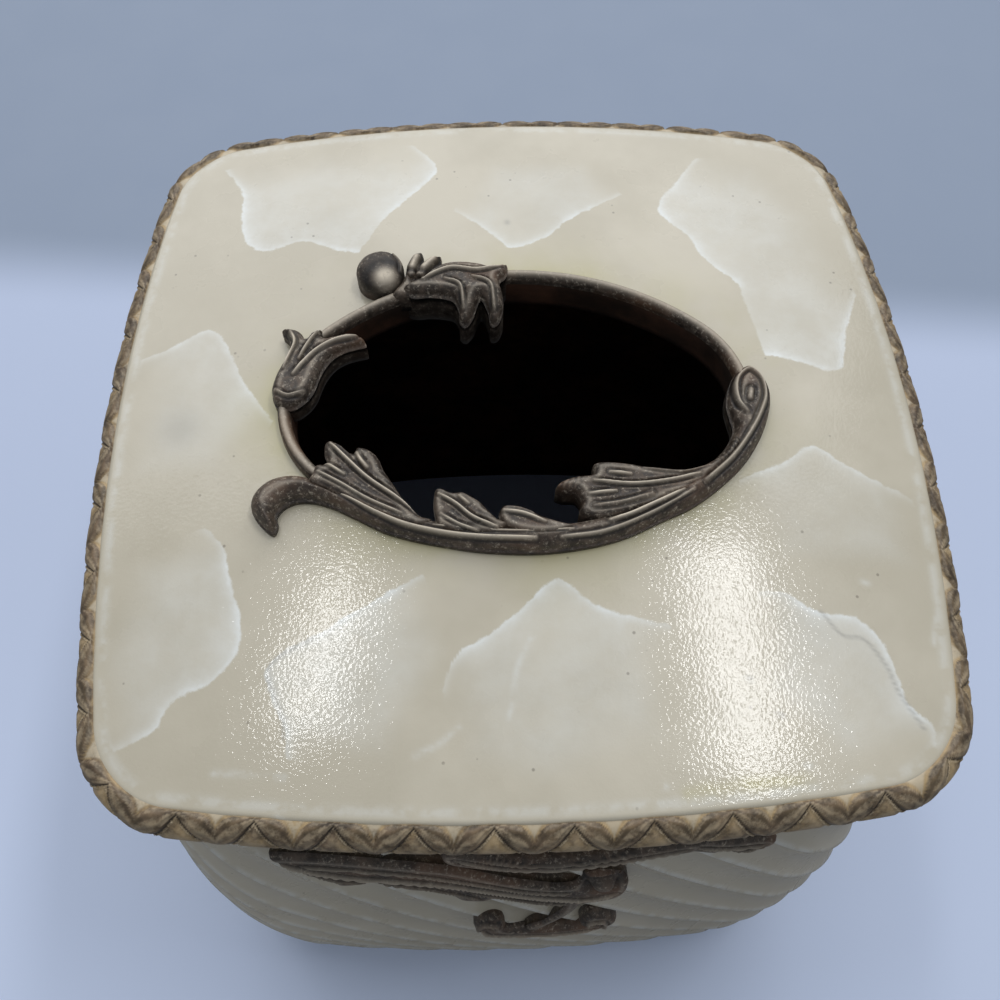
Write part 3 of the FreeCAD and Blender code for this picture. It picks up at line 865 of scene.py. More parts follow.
@dataclass
class Deck:
    """The crowned deck with its shoulder, its lip and the hole for the mouth."""

    sleeve: Sleeve
    outline: ArcChain = field(default_factory=lambda: bowed_square(69.6, 5.4, 15.2))
    half: float = 69.6
    edge: float = 8.2
    crown: float = 3.0
    shoulder: float = 0.9
    plate: float = 6.0
    lip_wall: float = 3.0
    lip_depth: float = 4.0
    clearance: float = 0.3
    mouth: ArcChain = field(default_factory=lambda: oval(38.6, 25.5, 17.5))
    hole_offset: float = 1.6
    glaze_start: float = 3.0
    glaze_reach: float = 4.5
    glaze_share: float = 0.85
    far_outside: float = -50.0
    fade_start: float = 0.5
    halo_share: float = 0.22
    halo_least: float = 0.3
    rim_width: float = 0.9
    body_pale: float = 0.34
    halo_pale: float = 0.52
    rim_pale: float = 0.45
    crease_width: float = 0.28
    crease_grey: float = 0.55
    stain_at: tuple[float, float] = (-58.0, -3.0)
    stain_width: float = 4.0
    stain_grey: float = 0.35
    dot_width: float = 0.6
    dot_grey: float = 0.6
    smear_width: float = 1.1
    streak_width: float = 0.5
    streak_pale: float = 0.32
    filler_inset: float = 1.8
    filler_width: float = 0.7
    filler_pale: float = 0.30
    line_step: float = 0.8
    mouth_steps: int = 240
    edge_steps: int = 360
    shoulder_steps: int = 7
    columns: int = 1080
    rows: int = 76

    @property
    def top(self) -> float:
        """Height of the crown."""
        return self.sleeve.height + self.edge + self.crown

    @property
    def dome(self) -> float:
        """Radius of the crowned surface."""
        return arc_radius(self.half, self.crown)

    def height(self, x: Array, y: Array, sink: float = 0.0) -> Array:
        """Height of the crowned surface, or of a surface sunk below it."""
        return self.top - self.dome + np.sqrt((self.dome - sink) ** 2 - x ** 2 - y ** 2)

    def off_deck(self, flat: Array, rise: Array) -> Array:
        """Carry a flat drawing onto the deck.

        Args:
            flat: Places across and along the deck.
            rise: Height of each place off the deck.

        Returns:
            Points in space.
        """
        return np.c_[flat, self.height(*flat.T) + rise]

    def rings(self) -> list[Array]:
        """Draw rings from the hole over the crown, down the edge and back along the underside.

        Returns:
            Points of each ring.
        """
        angles = np.linspace(-math.pi, math.pi, self.columns, endpoint=False)
        around = np.c_[np.cos(angles), np.sin(angles)]
        hole = self.mouth.reach(angles, self.hole_offset)
        brow = self.outline.reach(angles, -self.shoulder)
        rings = []
        for share in np.linspace(0, 1, self.rows):
            flat = around * (hole + (brow - hole) * share)[:, None]
            rings.append(self.off_deck(flat, np.zeros(self.columns)))
        brow_height = rings[-1][:, 2]
        for turn in np.linspace(0, math.pi / 2, self.shoulder_steps)[1:]:
            flat = around * self.outline.reach(angles, self.shoulder * (math.sin(turn) - 1))[:, None]
            rings.append(np.c_[flat, brow_height - self.shoulder * (1 - math.cos(turn))])
        floor, neck = self.sleeve.height, bowed_square(*self.sleeve.neck)
        lip = -self.sleeve.wall - self.clearance
        outer, inner = neck.reach(angles, lip), neck.reach(angles, lip - self.lip_wall)
        bottom = floor - self.lip_depth
        levels = ((self.outline.reach(angles), floor), (outer, floor), (outer, bottom), (inner, bottom))
        for reach, height in levels:
            rings.append(np.c_[around * reach[:, None], np.full(self.columns, height)])
        for reach in (inner, hole):
            flat = around * reach[:, None]
            rings.append(np.c_[flat, self.height(*flat.T, sink=self.plate)])
        return rings

    def shard_values(self, flat: Array) -> tuple[Array, Array]:
        """Reach into the nearest shard and its paleness.

        Args:
            flat: Places on the deck.

        Returns:
            Distance inside the shard, below zero outside, and paleness.
        """
        reach, pale = np.full(len(flat), self.far_outside), np.zeros(len(flat))
        for shard in SHARDS:
            lines = [smooth_line(edge, self.line_step, False) for edge in shard.edges]
            border = np.vstack(lines + [np.array(shard.open_side, float)])
            away = line_distance(flat, np.vstack([border, border[:1]]))
            here = np.where(enclosed(flat, border), away, -away)
            bright = np.min([line_distance(flat, line) for line in lines], axis=0)
            open_line = np.vstack([lines[-1][-1:], np.array(shard.open_side, float), lines[0][:1]])
            fade = eased(line_distance(flat, open_line), self.fade_start, shard.depth)
            halo = np.exp(-bright / (shard.depth * self.halo_share))
            halo *= self.halo_least + (1 - self.halo_least) * fade
            rim = bell(bright, self.rim_width)
            amount = self.body_pale * fade + self.halo_pale * halo + self.rim_pale * rim
            amount = np.minimum(shard.strength * amount, 1)
            nearer = here > reach
            reach, pale = np.where(nearer, here, reach), np.where(nearer, amount, pale)
        return reach, pale

    def near_lines(self, flat: Array, lines: tuple[Places, ...], width: float) -> Array:
        """Soft nearness of places to any of some lines, 1 on a line."""
        drawn = [smooth_line(line, self.line_step, False) for line in lines]
        return np.max([bell(line_distance(flat, line), width) for line in drawn], axis=0)

    def near_places(self, flat: Array, spots: Places, width: float) -> Array:
        """Soft nearness of places to any of some spots, 1 on a spot."""
        away = [np.linalg.norm(flat - np.array(spot), axis=1) for spot in spots]
        return np.max([bell(distance, width) for distance in away], axis=0)

    def form(self) -> Form:
        """Draw the deck, with the places of its shards, streaks and glaze.

        Returns:
            The form.
        """
        points = np.vstack(self.rings())
        flat = points[:, :2]
        reach, pale = self.shard_values(flat)
        streak = self.near_lines(flat, STREAKS, self.streak_width)
        ring, _ = self.mouth.walk(np.linspace(0, 1, self.mouth_steps))
        glaze = np.exp(-np.maximum(line_distance(flat, ring) - self.glaze_start, 0) / self.glaze_reach)
        glaze = np.maximum(glaze, self.near_lines(flat, SMEARS, self.smear_width))
        border, _ = self.outline.walk(np.linspace(0, 1, self.edge_steps))
        filler = bell(line_distance(flat, border) - self.filler_inset, self.filler_width)
        crease = self.near_lines(flat, CREASES, self.crease_width)
        stain = self.near_places(flat, (self.stain_at,), self.stain_width)
        dots = self.near_places(flat, DOTS, self.dot_width)
        smudge = (self.crease_grey * crease, self.stain_grey * stain, self.dot_grey * dots)
        values = {
            Dress.SHARD_REACH: reach, Dress.SHARD_PALE: pale, Dress.SMUDGE: np.max(smudge, axis=0),
            Dress.STREAK: np.maximum(self.streak_pale * streak, self.filler_pale * filler),
            Dress.GLAZE: self.glaze_share * glaze,
        }
        return Form(points, ring_faces(len(points) // self.columns, self.columns).tolist(), values)

    def build(self) -> None:
        """Build and dress the deck."""
        place_piece("top_deck", self.form(), [IvoryResin().make(True)])


@dataclass
class RibbonBorder:
    """The border of crossed leaves along the deck's edge."""

    deck: Deck
    repeats: int = 44
    columns_per_repeat: int = 44
    rows: int = 44
    middle_out: float = -0.4
    middle_drop: float = 4.6
    reach_out: float = 3.2
    reach_up: float = 4.2
    first_angle: float = 100.0
    last_angle: float = -70.0
    apex_angle: float = 88.0
    foot_angle: float = -12.0
    notch_shares: tuple[float, float] = (0.30, 0.62)
    seed: int = 7
    notch_power: float = 5.0
    apex_share: float = 0.12
    facet_share: float = 0.72
    grain_lines: float = 3.5
    lobe_rise: float = 0.7
    facet_rise: float = 0.9
    dip: float = 0.1
    back_out: float = -1.2
    sag_share: float = 0.7
    fade_angle: float = 30.0
    foot_overrun: float = 1.12
    under_run: float = 1.35
    facet_run: float = 0.3
    facet_part: float = 0.55
    ridge_at: float = 0.30
    ridge_width: float = 0.24
    groove_at: float = -0.12
    groove_width: float = 0.20
    grain_depth: float = 0.10
    grain_waves: tuple[float, float] = (1.5, 1.7)
    least_lobe: float = 0.2
    lobe_start: float = 0.3
    lobe_crest: float = 0.9
    rim_share: float = 0.12
    # Shares of the ridges, facets, crests and rims in the worn paint.
    worn_shares: tuple[float, float, float, float] = (0.9, 0.25, 0.35, 0.3)
    # Shares of the grooves and the grain in the dark hollows.
    hollow_shares: tuple[float, float] = (0.9, 0.4)
    # Shares of the facets, the lobes and the ground above them in the gold.
    gold_shares: tuple[float, float, float] = (0.75, 0.25, 0.9)
    cream_share: float = 0.7
    cream_edge: tuple[float, float] = (0.3, 1.2)

    @property
    def pitch(self) -> float:
        """Length of one repeat."""
        return self.deck.outline.length() / self.repeats

    def below_apex(self, angle: float) -> float:
        """Distance down the band from the apex line to an angle."""
        return math.radians(self.apex_angle - angle) * (self.reach_up + self.reach_out) / 2

    def pattern(self, beside: Array, down: Array, notch: Array) -> tuple[Array, dict[Dress, Array]]:
        """Relief of the crossed leaves.

        Args:
            beside: Distance along the border from the nearest apex.
            down: Distance down from the apex line.
            notch: Depth of the nearest notch between two leaves, as a share of the border's depth.

        Returns:
            Height of the relief and the vertex values.
        """
        half_pitch = self.pitch / 2
        depth = self.below_apex(self.foot_angle)
        over = depth * notch * (beside / half_pitch) ** self.notch_power
        leg = depth * (self.apex_share + (1 - self.apex_share) * beside / (self.facet_share * half_pitch))
        floor = np.minimum(leg, depth * self.foot_overrun)
        across = np.clip((down - over) / np.maximum(floor - over, self.least_lobe), 0, 1)
        lobe = np.sqrt(4 * across * (1 - across))
        outside = down < over
        shown = leg < depth
        facet = np.clip((down - leg) / (depth * self.facet_run), 0, 1) * shown
        ridge = bell(down - leg - self.ridge_at, self.ridge_width) * shown
        groove = bell(down - leg - self.groove_at, self.groove_width) * shown
        sway, waves = self.grain_waves
        lines = np.cos(across * 2 * math.pi * self.grain_lines + sway * np.sin(beside * waves))
        grain = (0.5 + 0.5 * lines) * (lobe > self.lobe_start)
        # Painted shade where the band turns under its lower edge; the wear is taken away there too.
        under = eased(down, depth, depth * self.under_run)
        raised = self.facet_part * facet + (1 - self.facet_part) * ridge
        height = self.lobe_rise * lobe + self.facet_rise * raised - self.grain_depth * grain
        height -= self.dip * outside
        rim = (across < self.rim_share) * (lobe > 0)
        worn = np.tensordot(self.worn_shares, (ridge, facet, lobe > self.lobe_crest, rim), 1)
        hollow = np.tensordot(self.hollow_shares, (groove, grain), 1) + under
        gold = np.tensordot(self.gold_shares, (facet > 0, lobe, outside), 1)
        return height, {
            Dress.WORN: np.clip(worn, 0, 1) * (1 - under),
            Dress.HOLLOW: np.clip(hollow, 0, 1) * (1 - outside),
            Dress.GOLD: np.clip(gold, 0, 1),
            Dress.CREAM: self.cream_share * outside * eased(over - down, *self.cream_edge),
        }

    def form(self) -> Form:
        """Draw the band with its relief, closed at the back.

        Returns:
            The form.
        """
        columns = self.repeats * self.columns_per_repeat
        count = np.arange(columns)
        points, outward = self.deck.outline.walk(count / columns)
        along = count % self.columns_per_repeat / self.columns_per_repeat
        beside = np.abs(along - 0.5) * self.pitch
        drawn = np.random.default_rng(self.seed).uniform(*self.notch_shares, self.repeats)
        notch = drawn[(count + self.columns_per_repeat // 2) // self.columns_per_repeat % self.repeats]
        sag = self.deck.height(*points.T) - self.deck.height(self.deck.half, 0.0)
        middle = self.deck.sleeve.height + self.deck.edge - self.middle_drop + self.sag_share * sag
        rings, values = [], {dress: [] for dress in (Dress.WORN, Dress.HOLLOW, Dress.GOLD, Dress.CREAM)}
        for angle in np.linspace(self.first_angle, self.last_angle, self.rows):
            bearing = math.radians(angle)
            rise, dress = self.pattern(beside, np.full(columns, self.below_apex(angle)), notch)
            rise = rise * eased(angle, self.last_angle, self.last_angle + self.fade_angle)
            out = self.middle_out + (self.reach_out + rise) * math.cos(bearing)
            up = middle + (self.reach_up + rise) * math.sin(bearing)
            rings.append(np.c_[points + outward * out[:, None], up])
            for key in values:
                values[key].append(dress[key])
        for last in (rings[-1], rings[0]):
            rings.append(np.c_[points + outward * self.back_out, last[:, 2]])
            for key in values:
                values[key].append(np.zeros(columns))
        faces = ring_faces(len(rings), columns)[:, ::-1]
        merged = {key: np.concatenate(parts) for key, parts in values.items()}
        return Form(np.vstack(rings), faces.tolist(), merged)

    def build(self) -> None:
        """Build and dress the border."""
        place_piece("ribbon_border", self.form(), [GiltBorder().make()])


@dataclass
class MouthRing:
    """The collar that lines the mouth, with its bead on the deck."""

    deck: Deck
    collar: float = 1.6
    bead_start: float = 0.1
    bead_width: float = 2.2
    bead_rise: float = 2.3
    sink: float = 1.5
    crest_drop: float = 0.5
    wall_gap: float = 0.4
    wall_shade: float = 0.75
    bead_power: float = 0.8
    crease_turn: float = 0.75
    crease_width: float = 0.16
    crease_depth: float = 0.25
    crease_shade: float = 0.8
    foot_turn: float = 2.9
    foot_shade: float = 0.4
    top_worn: float = 0.5
    top_power: int = 6
    columns: int = 640
    wall_steps: int = 6
    bead_steps: int = 18

    def form(self) -> Form:
        """Carry the section of the collar and its bead once round the mouth.

        Returns:
            The form.
        """
        points, outward = self.deck.mouth.walk(np.arange(self.columns) / self.columns)
        crest = self.deck.top - self.crest_drop
        bottom = self.deck.top - self.deck.plate
        heights = np.linspace(bottom, crest - self.wall_gap, self.wall_steps)
        # Distance out, height, wear and shade of each point of the section.
        section = [(0.0, height, 0.0, self.wall_shade) for height in heights]
        for turn in np.linspace(math.pi, 0, self.bead_steps):
            swell = math.sin(turn)
            crease = bell(turn - self.crease_turn, self.crease_width)
            out = self.bead_start + self.bead_width / 2 * (1 + math.cos(turn))
            height = crest + self.bead_rise * swell ** self.bead_power - self.crease_depth * crease
            shade = self.crease_shade * crease + self.foot_shade * (turn > self.foot_turn)
            section.append((out, height, self.top_worn * swell ** self.top_power, shade))
        hidden = ((self.bead_start + self.bead_width, crest - self.sink), (self.collar, crest - self.sink),
                  (self.collar, bottom))
        section += [(out, height, 0.0, 1.0) for out, height in hidden]
        outs, heights, worn, shades = np.array(section).T
        rings = [np.c_[points + outward * out, np.full(self.columns, height)]
                 for out, height in zip(outs, heights)]
        values = {Dress.WORN: np.repeat(worn, self.columns), Dress.HOLLOW: np.repeat(shades, self.columns)}
        faces = ring_faces(len(rings), self.columns)
        inner = faces[:, 0] // self.columns < self.wall_steps
        return Form(np.vstack(rings), faces.tolist(), values, inner)

    def build(self) -> None:
        """Build and dress the ring."""
        place_piece("mouth_ring", self.form(), [BronzePaint().make(), InsideBrown().make()])


@dataclass(frozen=True)
class Vein:
    """A raised line on a carved leaf."""

    points: Places
    width: float = 0.40
    rise: float = 0.45
    pale: float = 1.0


@dataclass(frozen=True)
class Carving:
    """A carved leaf or stem: a lobed outline with steep sides, a rounded top and veins."""

    outline: Places
    veins: tuple[Vein, ...] = ()
    height: float = 3.8
    rounding: float = 1.1
    side_share: float = 0.55
    base: float = -1.6
    sag_below: float = -1000.0
    sag: float = 0.0
    hollow: float = 0.95
    fineness: float = 0.52
    taper: float = 1.8
    blunt: float = 0.4
    rub: float = 1.05
    hatch_pitch: float = 0.85
    hatch_rise: float = 0.0
    hatch_pale: float = 0.12
    hatch_dark: float = 0.75
    # Bands over which the hatching fades in from the veins, the edge and the tips of the veins.
    hatch_fades: tuple[tuple[float, float], ...] = ((0.5, 0.9), (0.1, 0.5), (0.8, 2.4))
    dent_at: float = 2.0
    dent_width: float = 0.8
    dent_depth: float = 0.75
    edge_pale: float = 0.22
    edge_width: float = 0.35
    side_levels: tuple[float, ...] = (0.66, 0.33)
    side_shades: tuple[float, ...] = (0.25, 0.6)
    least_thick: float = 1.0
    sag_under: float = 0.5
    spacing: float = 0.19
    row_share: float = 0.87
    edge_gap: float = 0.55

    def line(self) -> Array:
        """Points of the outline in order."""
        return smooth_line(self.outline, self.spacing, True)

    def drape(self, flat: Array) -> Array:
        """How far places hang down where the carving drapes."""
        return self.sag * np.maximum(self.sag_below - flat[:, 1], 0)

    def fill(self) -> tuple[Array, list, list]:
        """Fill the outline with triangles.

        Returns:
            Places, triangles, and the places of the outline in order.
        """
        line = self.line()
        low, high = line.min(axis=0), line.max(axis=0)
        rows = []
        for index, y in enumerate(np.arange(low[1], high[1], self.spacing * self.row_share)):
            across = np.arange(low[0] + index % 2 * self.spacing / 2, high[0], self.spacing)
            rows.append(np.c_[across, np.full(len(across), y)])
        grid, loop = np.vstack(rows), np.vstack([line, line[:1]])
        grid = grid[enclosed(grid, line) & (line_distance(grid, loop) > self.spacing * self.edge_gap)]
        places = np.vstack([line, grid])
        edges = [(index, (index + 1) % len(line)) for index in range(len(line))]
        found = delaunay_2d_cdt([Vector(place) for place in places], edges, [], 1, 1e-5)
        number = {old: new for new, sources in enumerate(found[3]) for old in sources}
        border = [number[index] for index in range(len(line)) if index in number]
        return np.array([tuple(place) for place in found[0]]), [tuple(face) for face in found[2]], border

    def relief(self, flat: Array) -> tuple[Array, dict[Dress, Array]]:
        """Height of the carved top and its vertex values.

        Args:
            flat: Places on the carving.

        Returns:
            Heights and vertex values.
        """
        line = self.line()
        edge = line_distance(flat, np.vstack([line, line[:1]]))
        round_share = np.sqrt(np.clip(1 - (1 - np.clip(edge / self.rounding, 0, 1)) ** 2, 0, 1))
        height = self.height * (self.side_share + (1 - self.side_share) * round_share)
        worn, groove = np.zeros(len(flat)), np.zeros(len(flat))
        nearest, tips = np.full(len(flat), np.inf), np.full(len(flat), np.inf)
        for vein in self.veins:
            path = smooth_line(vein.points, self.spacing, False)
            away = line_distance(flat, path)
            nearest = np.minimum(nearest, away)
            off = away / (vein.width * self.fineness)
            ends = np.minimum(*(np.linalg.norm(flat - path[end], axis=1) for end in (0, -1)))
            tips = np.minimum(tips, ends)
            full = self.blunt + (1 - self.blunt) * eased(ends, 0.0, self.taper)
            ridge = full * np.exp(-off ** 2)
            dent = full * bell(off - self.dent_at, self.dent_width)
            height += vein.rise * (ridge - self.dent_depth * dent)
            worn = np.maximum(worn, vein.pale * full * np.exp(-(off * self.rub) ** 2))
            groove = np.maximum(groove, self.hollow * dent)
        if self.hatch_rise:
            hatch = np.cos(2 * math.pi * nearest / self.hatch_pitch)
            for away, band in zip((nearest, edge, tips), self.hatch_fades):
                hatch *= eased(away, *band)
            height += self.hatch_rise * hatch
            worn = np.maximum(worn, self.hatch_pale * np.clip(hatch, 0, 1) ** 2)
            groove = np.maximum(groove, self.hatch_dark * np.clip(-hatch, 0, 1) ** 2)
        height -= self.drape(flat)
        worn = np.maximum(worn, self.edge_pale * bell(edge - self.rounding, self.edge_width))
        return height, {Dress.WORN: worn, Dress.HOLLOW: groove * (1 - worn)}

    def form(self, carry: Carry) -> Form:
        """Close the carving with sides and an underside.

        Args:
            carry: Carries flat places and heights onto the surface below.

        Returns:
            Its form.
        """
        flat, triangles, border = self.fill()
        height, values = self.relief(flat)
        count, columns, rim = len(flat), len(border), flat[border]
        bottom = np.minimum(self.base, height - self.least_thick) - self.sag_under * self.drape(flat)
        parts, loops, shade = [carry(flat, height), carry(flat, bottom)], [border], []
        for index, (level, dark) in enumerate(zip(self.side_levels, self.side_shades)):
            parts.append(carry(rim, self.base + (height[border] - self.base) * level))
            start = 2 * count + index * columns
            loops.append(list(range(start, start + columns)))
            shade.append(np.full(columns, dark))
        loops.append([corner + count for corner in border])
        faces = triangles + [tuple(corner + count for corner in face[::-1]) for face in triangles]
        for upper, lower in zip(loops, loops[1:]):
            for step in range(columns):
                after = (step + 1) % columns
                faces.append((upper[step], lower[step], lower[after], upper[after]))
        # Painted shade: the sides darken lower down, by side_shades, and the underside is fully dark.
        values = {
            Dress.WORN: np.concatenate([values[Dress.WORN], np.zeros(count + columns * len(shade))]),
            Dress.HOLLOW: np.concatenate([values[Dress.HOLLOW], np.ones(count)] + shade),
        }
        return Form(np.vstack(parts), faces, values)


@dataclass(frozen=True)
class Petal(Carving):
    """A small petal with a pale middle."""

    height: float = 3.0
    rounding: float = 0.9
    side_share: float = 0.4
    blunt: float = 1.0


@dataclass(frozen=True)
class Scroll(Carving):
    """A low scroll on a wall, sunk between the ridges of the flutes."""

    side_share: float = 0.30
    base: float = -2.4
    spacing: float = 0.45


def carve(carvings: tuple[Carving, ...], carry: Carry) -> Form:
    """Join the carvings of one piece.

    Args:
        carvings: Its carvings.
        carry: Carries flat places and heights onto the surface below.

    Returns:
        The joined form.
    """
    form = carvings[0].form(carry)
    for carving in carvings[1:]:
        form = form.joined(carving.form(carry))
    return form


STEM = Carving(
    outline=((-39.9, -24.3), (-42.3, -22.4), (-43.8, -19.8), (-43.4, -17.5), (-41.1, -15.2), (-38, -14.4),
             (-34.9, -14.8), (-32.6, -16.1), (-27, -18.8), (-22, -21.2), (-17, -22.8), (-12, -23.8),
             (-6, -24.6), (0.8, -25), (7, -24.6), (13, -23.4), (18, -21.6), (23, -19.4), (27.5, -17),
             (31.5, -14), (34.5, -11), (36.5, -7.5), (36.3, -5), (36.1, -2.4), (36.7, 0.4), (38.3, 3.7),
             (40.6, 5.2), (42.5, 3.9), (43.8, 1), (43.7, -2.4), (41.7, -7.7), (38.1, -13.1), (33.4, -17.6),
             (27.9, -21.5), (22.7, -23.9), (17.5, -26.3), (12.5, -27.8), (6, -28.8), (0.8, -29), (-7, -28.4),
             (-12.2, -27.4), (-17.6, -26.1), (-22.2, -24.5), (-27.1, -21.8), (-30.9, -19.8), (-34, -18.8),
             (-36.8, -18.8), (-38.7, -19.8), (-39.6, -21.3), (-39.3, -22.8)),
    veins=(Vein(((-33.7, -15.4), (-30.8, -17.4), (-27, -19.9), (-23.3, -22.3), (-19, -24.4), (-13, -26.1),
                 (-7, -27.1), (2, -27.7)), 0.5, 0.5),
           Vein(((-14, -25), (-6, -26), (2, -26.4), (8, -26.3)), 0.35, 0.25, 0.7),
           Vein(((6, -27.6), (13, -26.6), (20, -23.9), (28, -19.6)), 0.4, 0.3, 0.7),
           Vein(((13.9, -24.9), (17, -24), (21, -22.2), (26.2, -19.8)), 0.6, 0.55),
           Vein(((30, -18.2), (35, -13.8), (38.6, -9.2), (40.9, -5.4), (42.4, -1.6), (42, 1.8), (40.2, 3.4),
                 (38.4, 2.2), (37.5, -0.4), (37.6, -3.4), (38.6, -5.2)), 0.6, 0.6, 0.6),
           Vein(((39.5, -2.6), (39.9, -1.0)), 0.75, 0.7)),
    height=4.3, rounding=2.3, side_share=0.18)
LEAF_LEFT = Carving(
    outline=((-14.2, -23.9), (-16, -25.4), (-21, -23.6), (-26, -21), (-31, -18.2), (-34.4, -16.4),
             (-33.8, -14.7), (-33.3, -13.4), (-31.5, -13), (-32, -11.4), (-32, -9.5), (-31.2, -8.8),
             (-29.5, -9.6), (-27.3, -11.4), (-26.7, -10.4), (-24.9, -10.7), (-23.2, -12.2), (-22.3, -14.3),
             (-20.7, -16.9), (-19.1, -19.6), (-17.5, -21.8), (-16, -23.1)),
    veins=(Vein(((-30.9, -9.8), (-27.9, -13.1), (-24.7, -16.4), (-20.6, -19.6), (-16, -22.9)), 0.5, 0.7),
           Vein(((-26.6, -11.7), (-25.8, -13.2), (-24.7, -14.6)), 0.55, 0.5),
           Vein(((-31.6, -13.4), (-28.4, -15.7)), 0.45, 0.45),
           Vein(((-32.8, -14.9), (-29, -17.2), (-24.5, -20.2), (-19, -23)), 0.4, 0.45, 0.8)),
    height=4.4, rounding=1.3, hatch_rise=0.08)
LEAF_MIDDLE = Carving(
    outline=((-13.9, -23.2), (-14.1, -20.3), (-13.7, -18.6), (-12.7, -18.5), (-11, -19.3), (-9.5, -19.2),
             (-8, -20), (-6.5, -21.1), (-5.3, -22.5), (-3.9, -24), (-2.1, -25), (-4, -26.6), (-9, -26.6),
             (-13.2, -25.4)),
    veins=(Vein(((-13.2, -19.8), (-10.5, -21.6), (-7.8, -24), (-4, -25.9)), 0.45, 0.6),
           Vein(((-9.9, -20.3), (-8.4, -21.7)), 0.45, 0.4),
           Vein(((-12.8, -23.4), (-10, -25.2), (-7, -26.4)), 0.4, 0.4, 0.8)),
    height=4.5, rounding=1.0, hatch_rise=0.08)
LEAF_SMALL = Carving(
    outline=((-3.7, -23), (-2.9, -21.9), (-0.8, -21.9), (1.2, -22.6), (3, -23.7), (5.6, -24.7), (8.4, -25.7),
             (6, -26.9), (1, -26.9), (-2.8, -25.4)),
    veins=(Vein(((-2.9, -23.0), (0.2, -23.6), (3.6, -25.1)), 0.5, 0.45),),
    height=4.5, rounding=0.9)
LEAF_RIGHT = Carving(
    outline=((36.2, -9.4), (34, -12.6), (31.8, -14.1), (29.3, -15.3), (26.6, -15.8), (23.3, -15.5),
             (20, -15.1), (16.7, -14.5), (13.4, -14.3), (11.9, -14.8), (11.8, -16.4), (9.2, -16.8),
             (6.6, -17.7), (5.6, -18.8), (6.6, -19.4), (9, -19.7), (9.7, -21.4), (9.2, -23.2), (11.3, -24.4),
             (15.6, -24), (20, -22.7), (25.5, -20.6), (30, -18), (34, -14.5), (37, -11)),
    veins=(Vein(((11.8, -18.1), (18, -18.8), (24.6, -18.1), (29.1, -17)), 0.45, 0.65),
           Vein(((14.5, -16.6), (17.8, -17)), 0.5, 0.5),
           Vein(((10.9, -20.4), (15.2, -20)), 0.5, 0.5),
           Vein(((11.5, -22.6), (16, -22.0), (21, -20.6)), 0.6, 0.5, 0.3),
           Vein(((20, -15.9), (26, -16.6), (31, -15.4)), 0.35, 0.3, 0.2)),
    height=4.4, rounding=1.2, hatch_rise=0.08)
LEFT_BUD = Carving(
    outline=((-40.7, -1.2), (-41.8, 1.3), (-41.5, 4.1), (-40.5, 7), (-39.6, 9.2), (-39.4, 11), (-40, 13.1),
             (-41, 14.4), (-39.2, 14.6), (-37.4, 13.7), (-36.5, 12.3), (-35.6, 13.5), (-33.8, 14.1),
             (-33.3, 12.3), (-31, 12.6), (-28.9, 13), (-26.8, 12.3), (-25.9, 10.8), (-27.6, 10.3),
             (-29.6, 9.7), (-31.5, 8.5), (-33, 6.4), (-33.9, 4.1), (-34.7, 1.5), (-36.1, -0.5),
             (-38.1, -1.8)),
    veins=(Vein(((-39.2, 13.4), (-38.2, 11), (-38.9, 8.5), (-39.8, 5.6)), 0.5, 0.6),
           Vein(((-34.3, 13.0), (-35.6, 10.7), (-37.2, 7.3)), 0.5, 0.6, 0.8),
           Vein(((-27.6, 11.7), (-31.6, 10.6), (-34.5, 8.6), (-36.3, 6.5), (-38, 4.2)), 0.55, 0.6),
           Vein(((-41, 1.2), (-38.6, -0.2), (-36, 0.6)), 0.5, 0.5, 0.5)),
    height=4.4, rounding=1.6, side_share=0.4)
BACK_LEAF = Carving(
    outline=((-19.6, 22.5), (-16, 25.1), (-14.2, 26.8), (-12.1, 28), (-9.3, 28.3), (-5.9, 27.8), (-3.1, 26.9),
             (-0.6, 27.4), (-1, 25.1), (-2.1, 23.9), (-1.6, 20.8), (-1.7, 18.4), (-2.7, 16.5), (-3.8, 16.3),
             (-4.4, 18.5), (-5.6, 20.5), (-6.4, 19.2), (-7.2, 17.4), (-8.5, 16.2), (-9.5, 16.8), (-9.6, 18.6),
             (-10.5, 20.3), (-12.2, 20.9), (-14.9, 21.2), (-18, 21.2)),
    veins=(Vein(((-16, 23.7), (-11.1, 26), (-5.9, 25.4), (-1.6, 26.5)), 0.5, 0.6),
           Vein(((-12, 23.6), (-9.4, 22.2), (-8.7, 18.2)), 0.5, 0.5, 0.6),
           Vein(((-7, 24), (-4, 22.4), (-3.2, 18)), 0.5, 0.5, 0.6)),
    height=4.6, rounding=1.5, base=-4.2, side_share=0.45, sag_below=21.5, sag=0.55)
BACK_CURL = Carving(
    outline=((-23.8, 31.2), (-26.9, 29.9), (-28.2, 26.8), (-26.9, 23.7), (-23.8, 22.4), (-20.7, 23.7),
             (-19.5, 26.8), (-20.7, 29.9)),
    veins=(Vein(((-19.9, 25.8), (-20.0, 27.8), (-21.4, 29.9)), 0.5, 0.35, 0.3),
           Vein(((-23.0, 24.0), (-22.4, 24.2)), 3.0, 0.15, 1.0)),
    height=5.6, rounding=4.3, side_share=0.55, blunt=1.0)
CURL_TAIL = Carving(
    outline=((-21.6, 21.8), (-20.2, 21.2), (-17.5, 21.8), (-17.6, 24), (-19, 26.6), (-20, 24.6)),
    height=3.2, rounding=1.2)
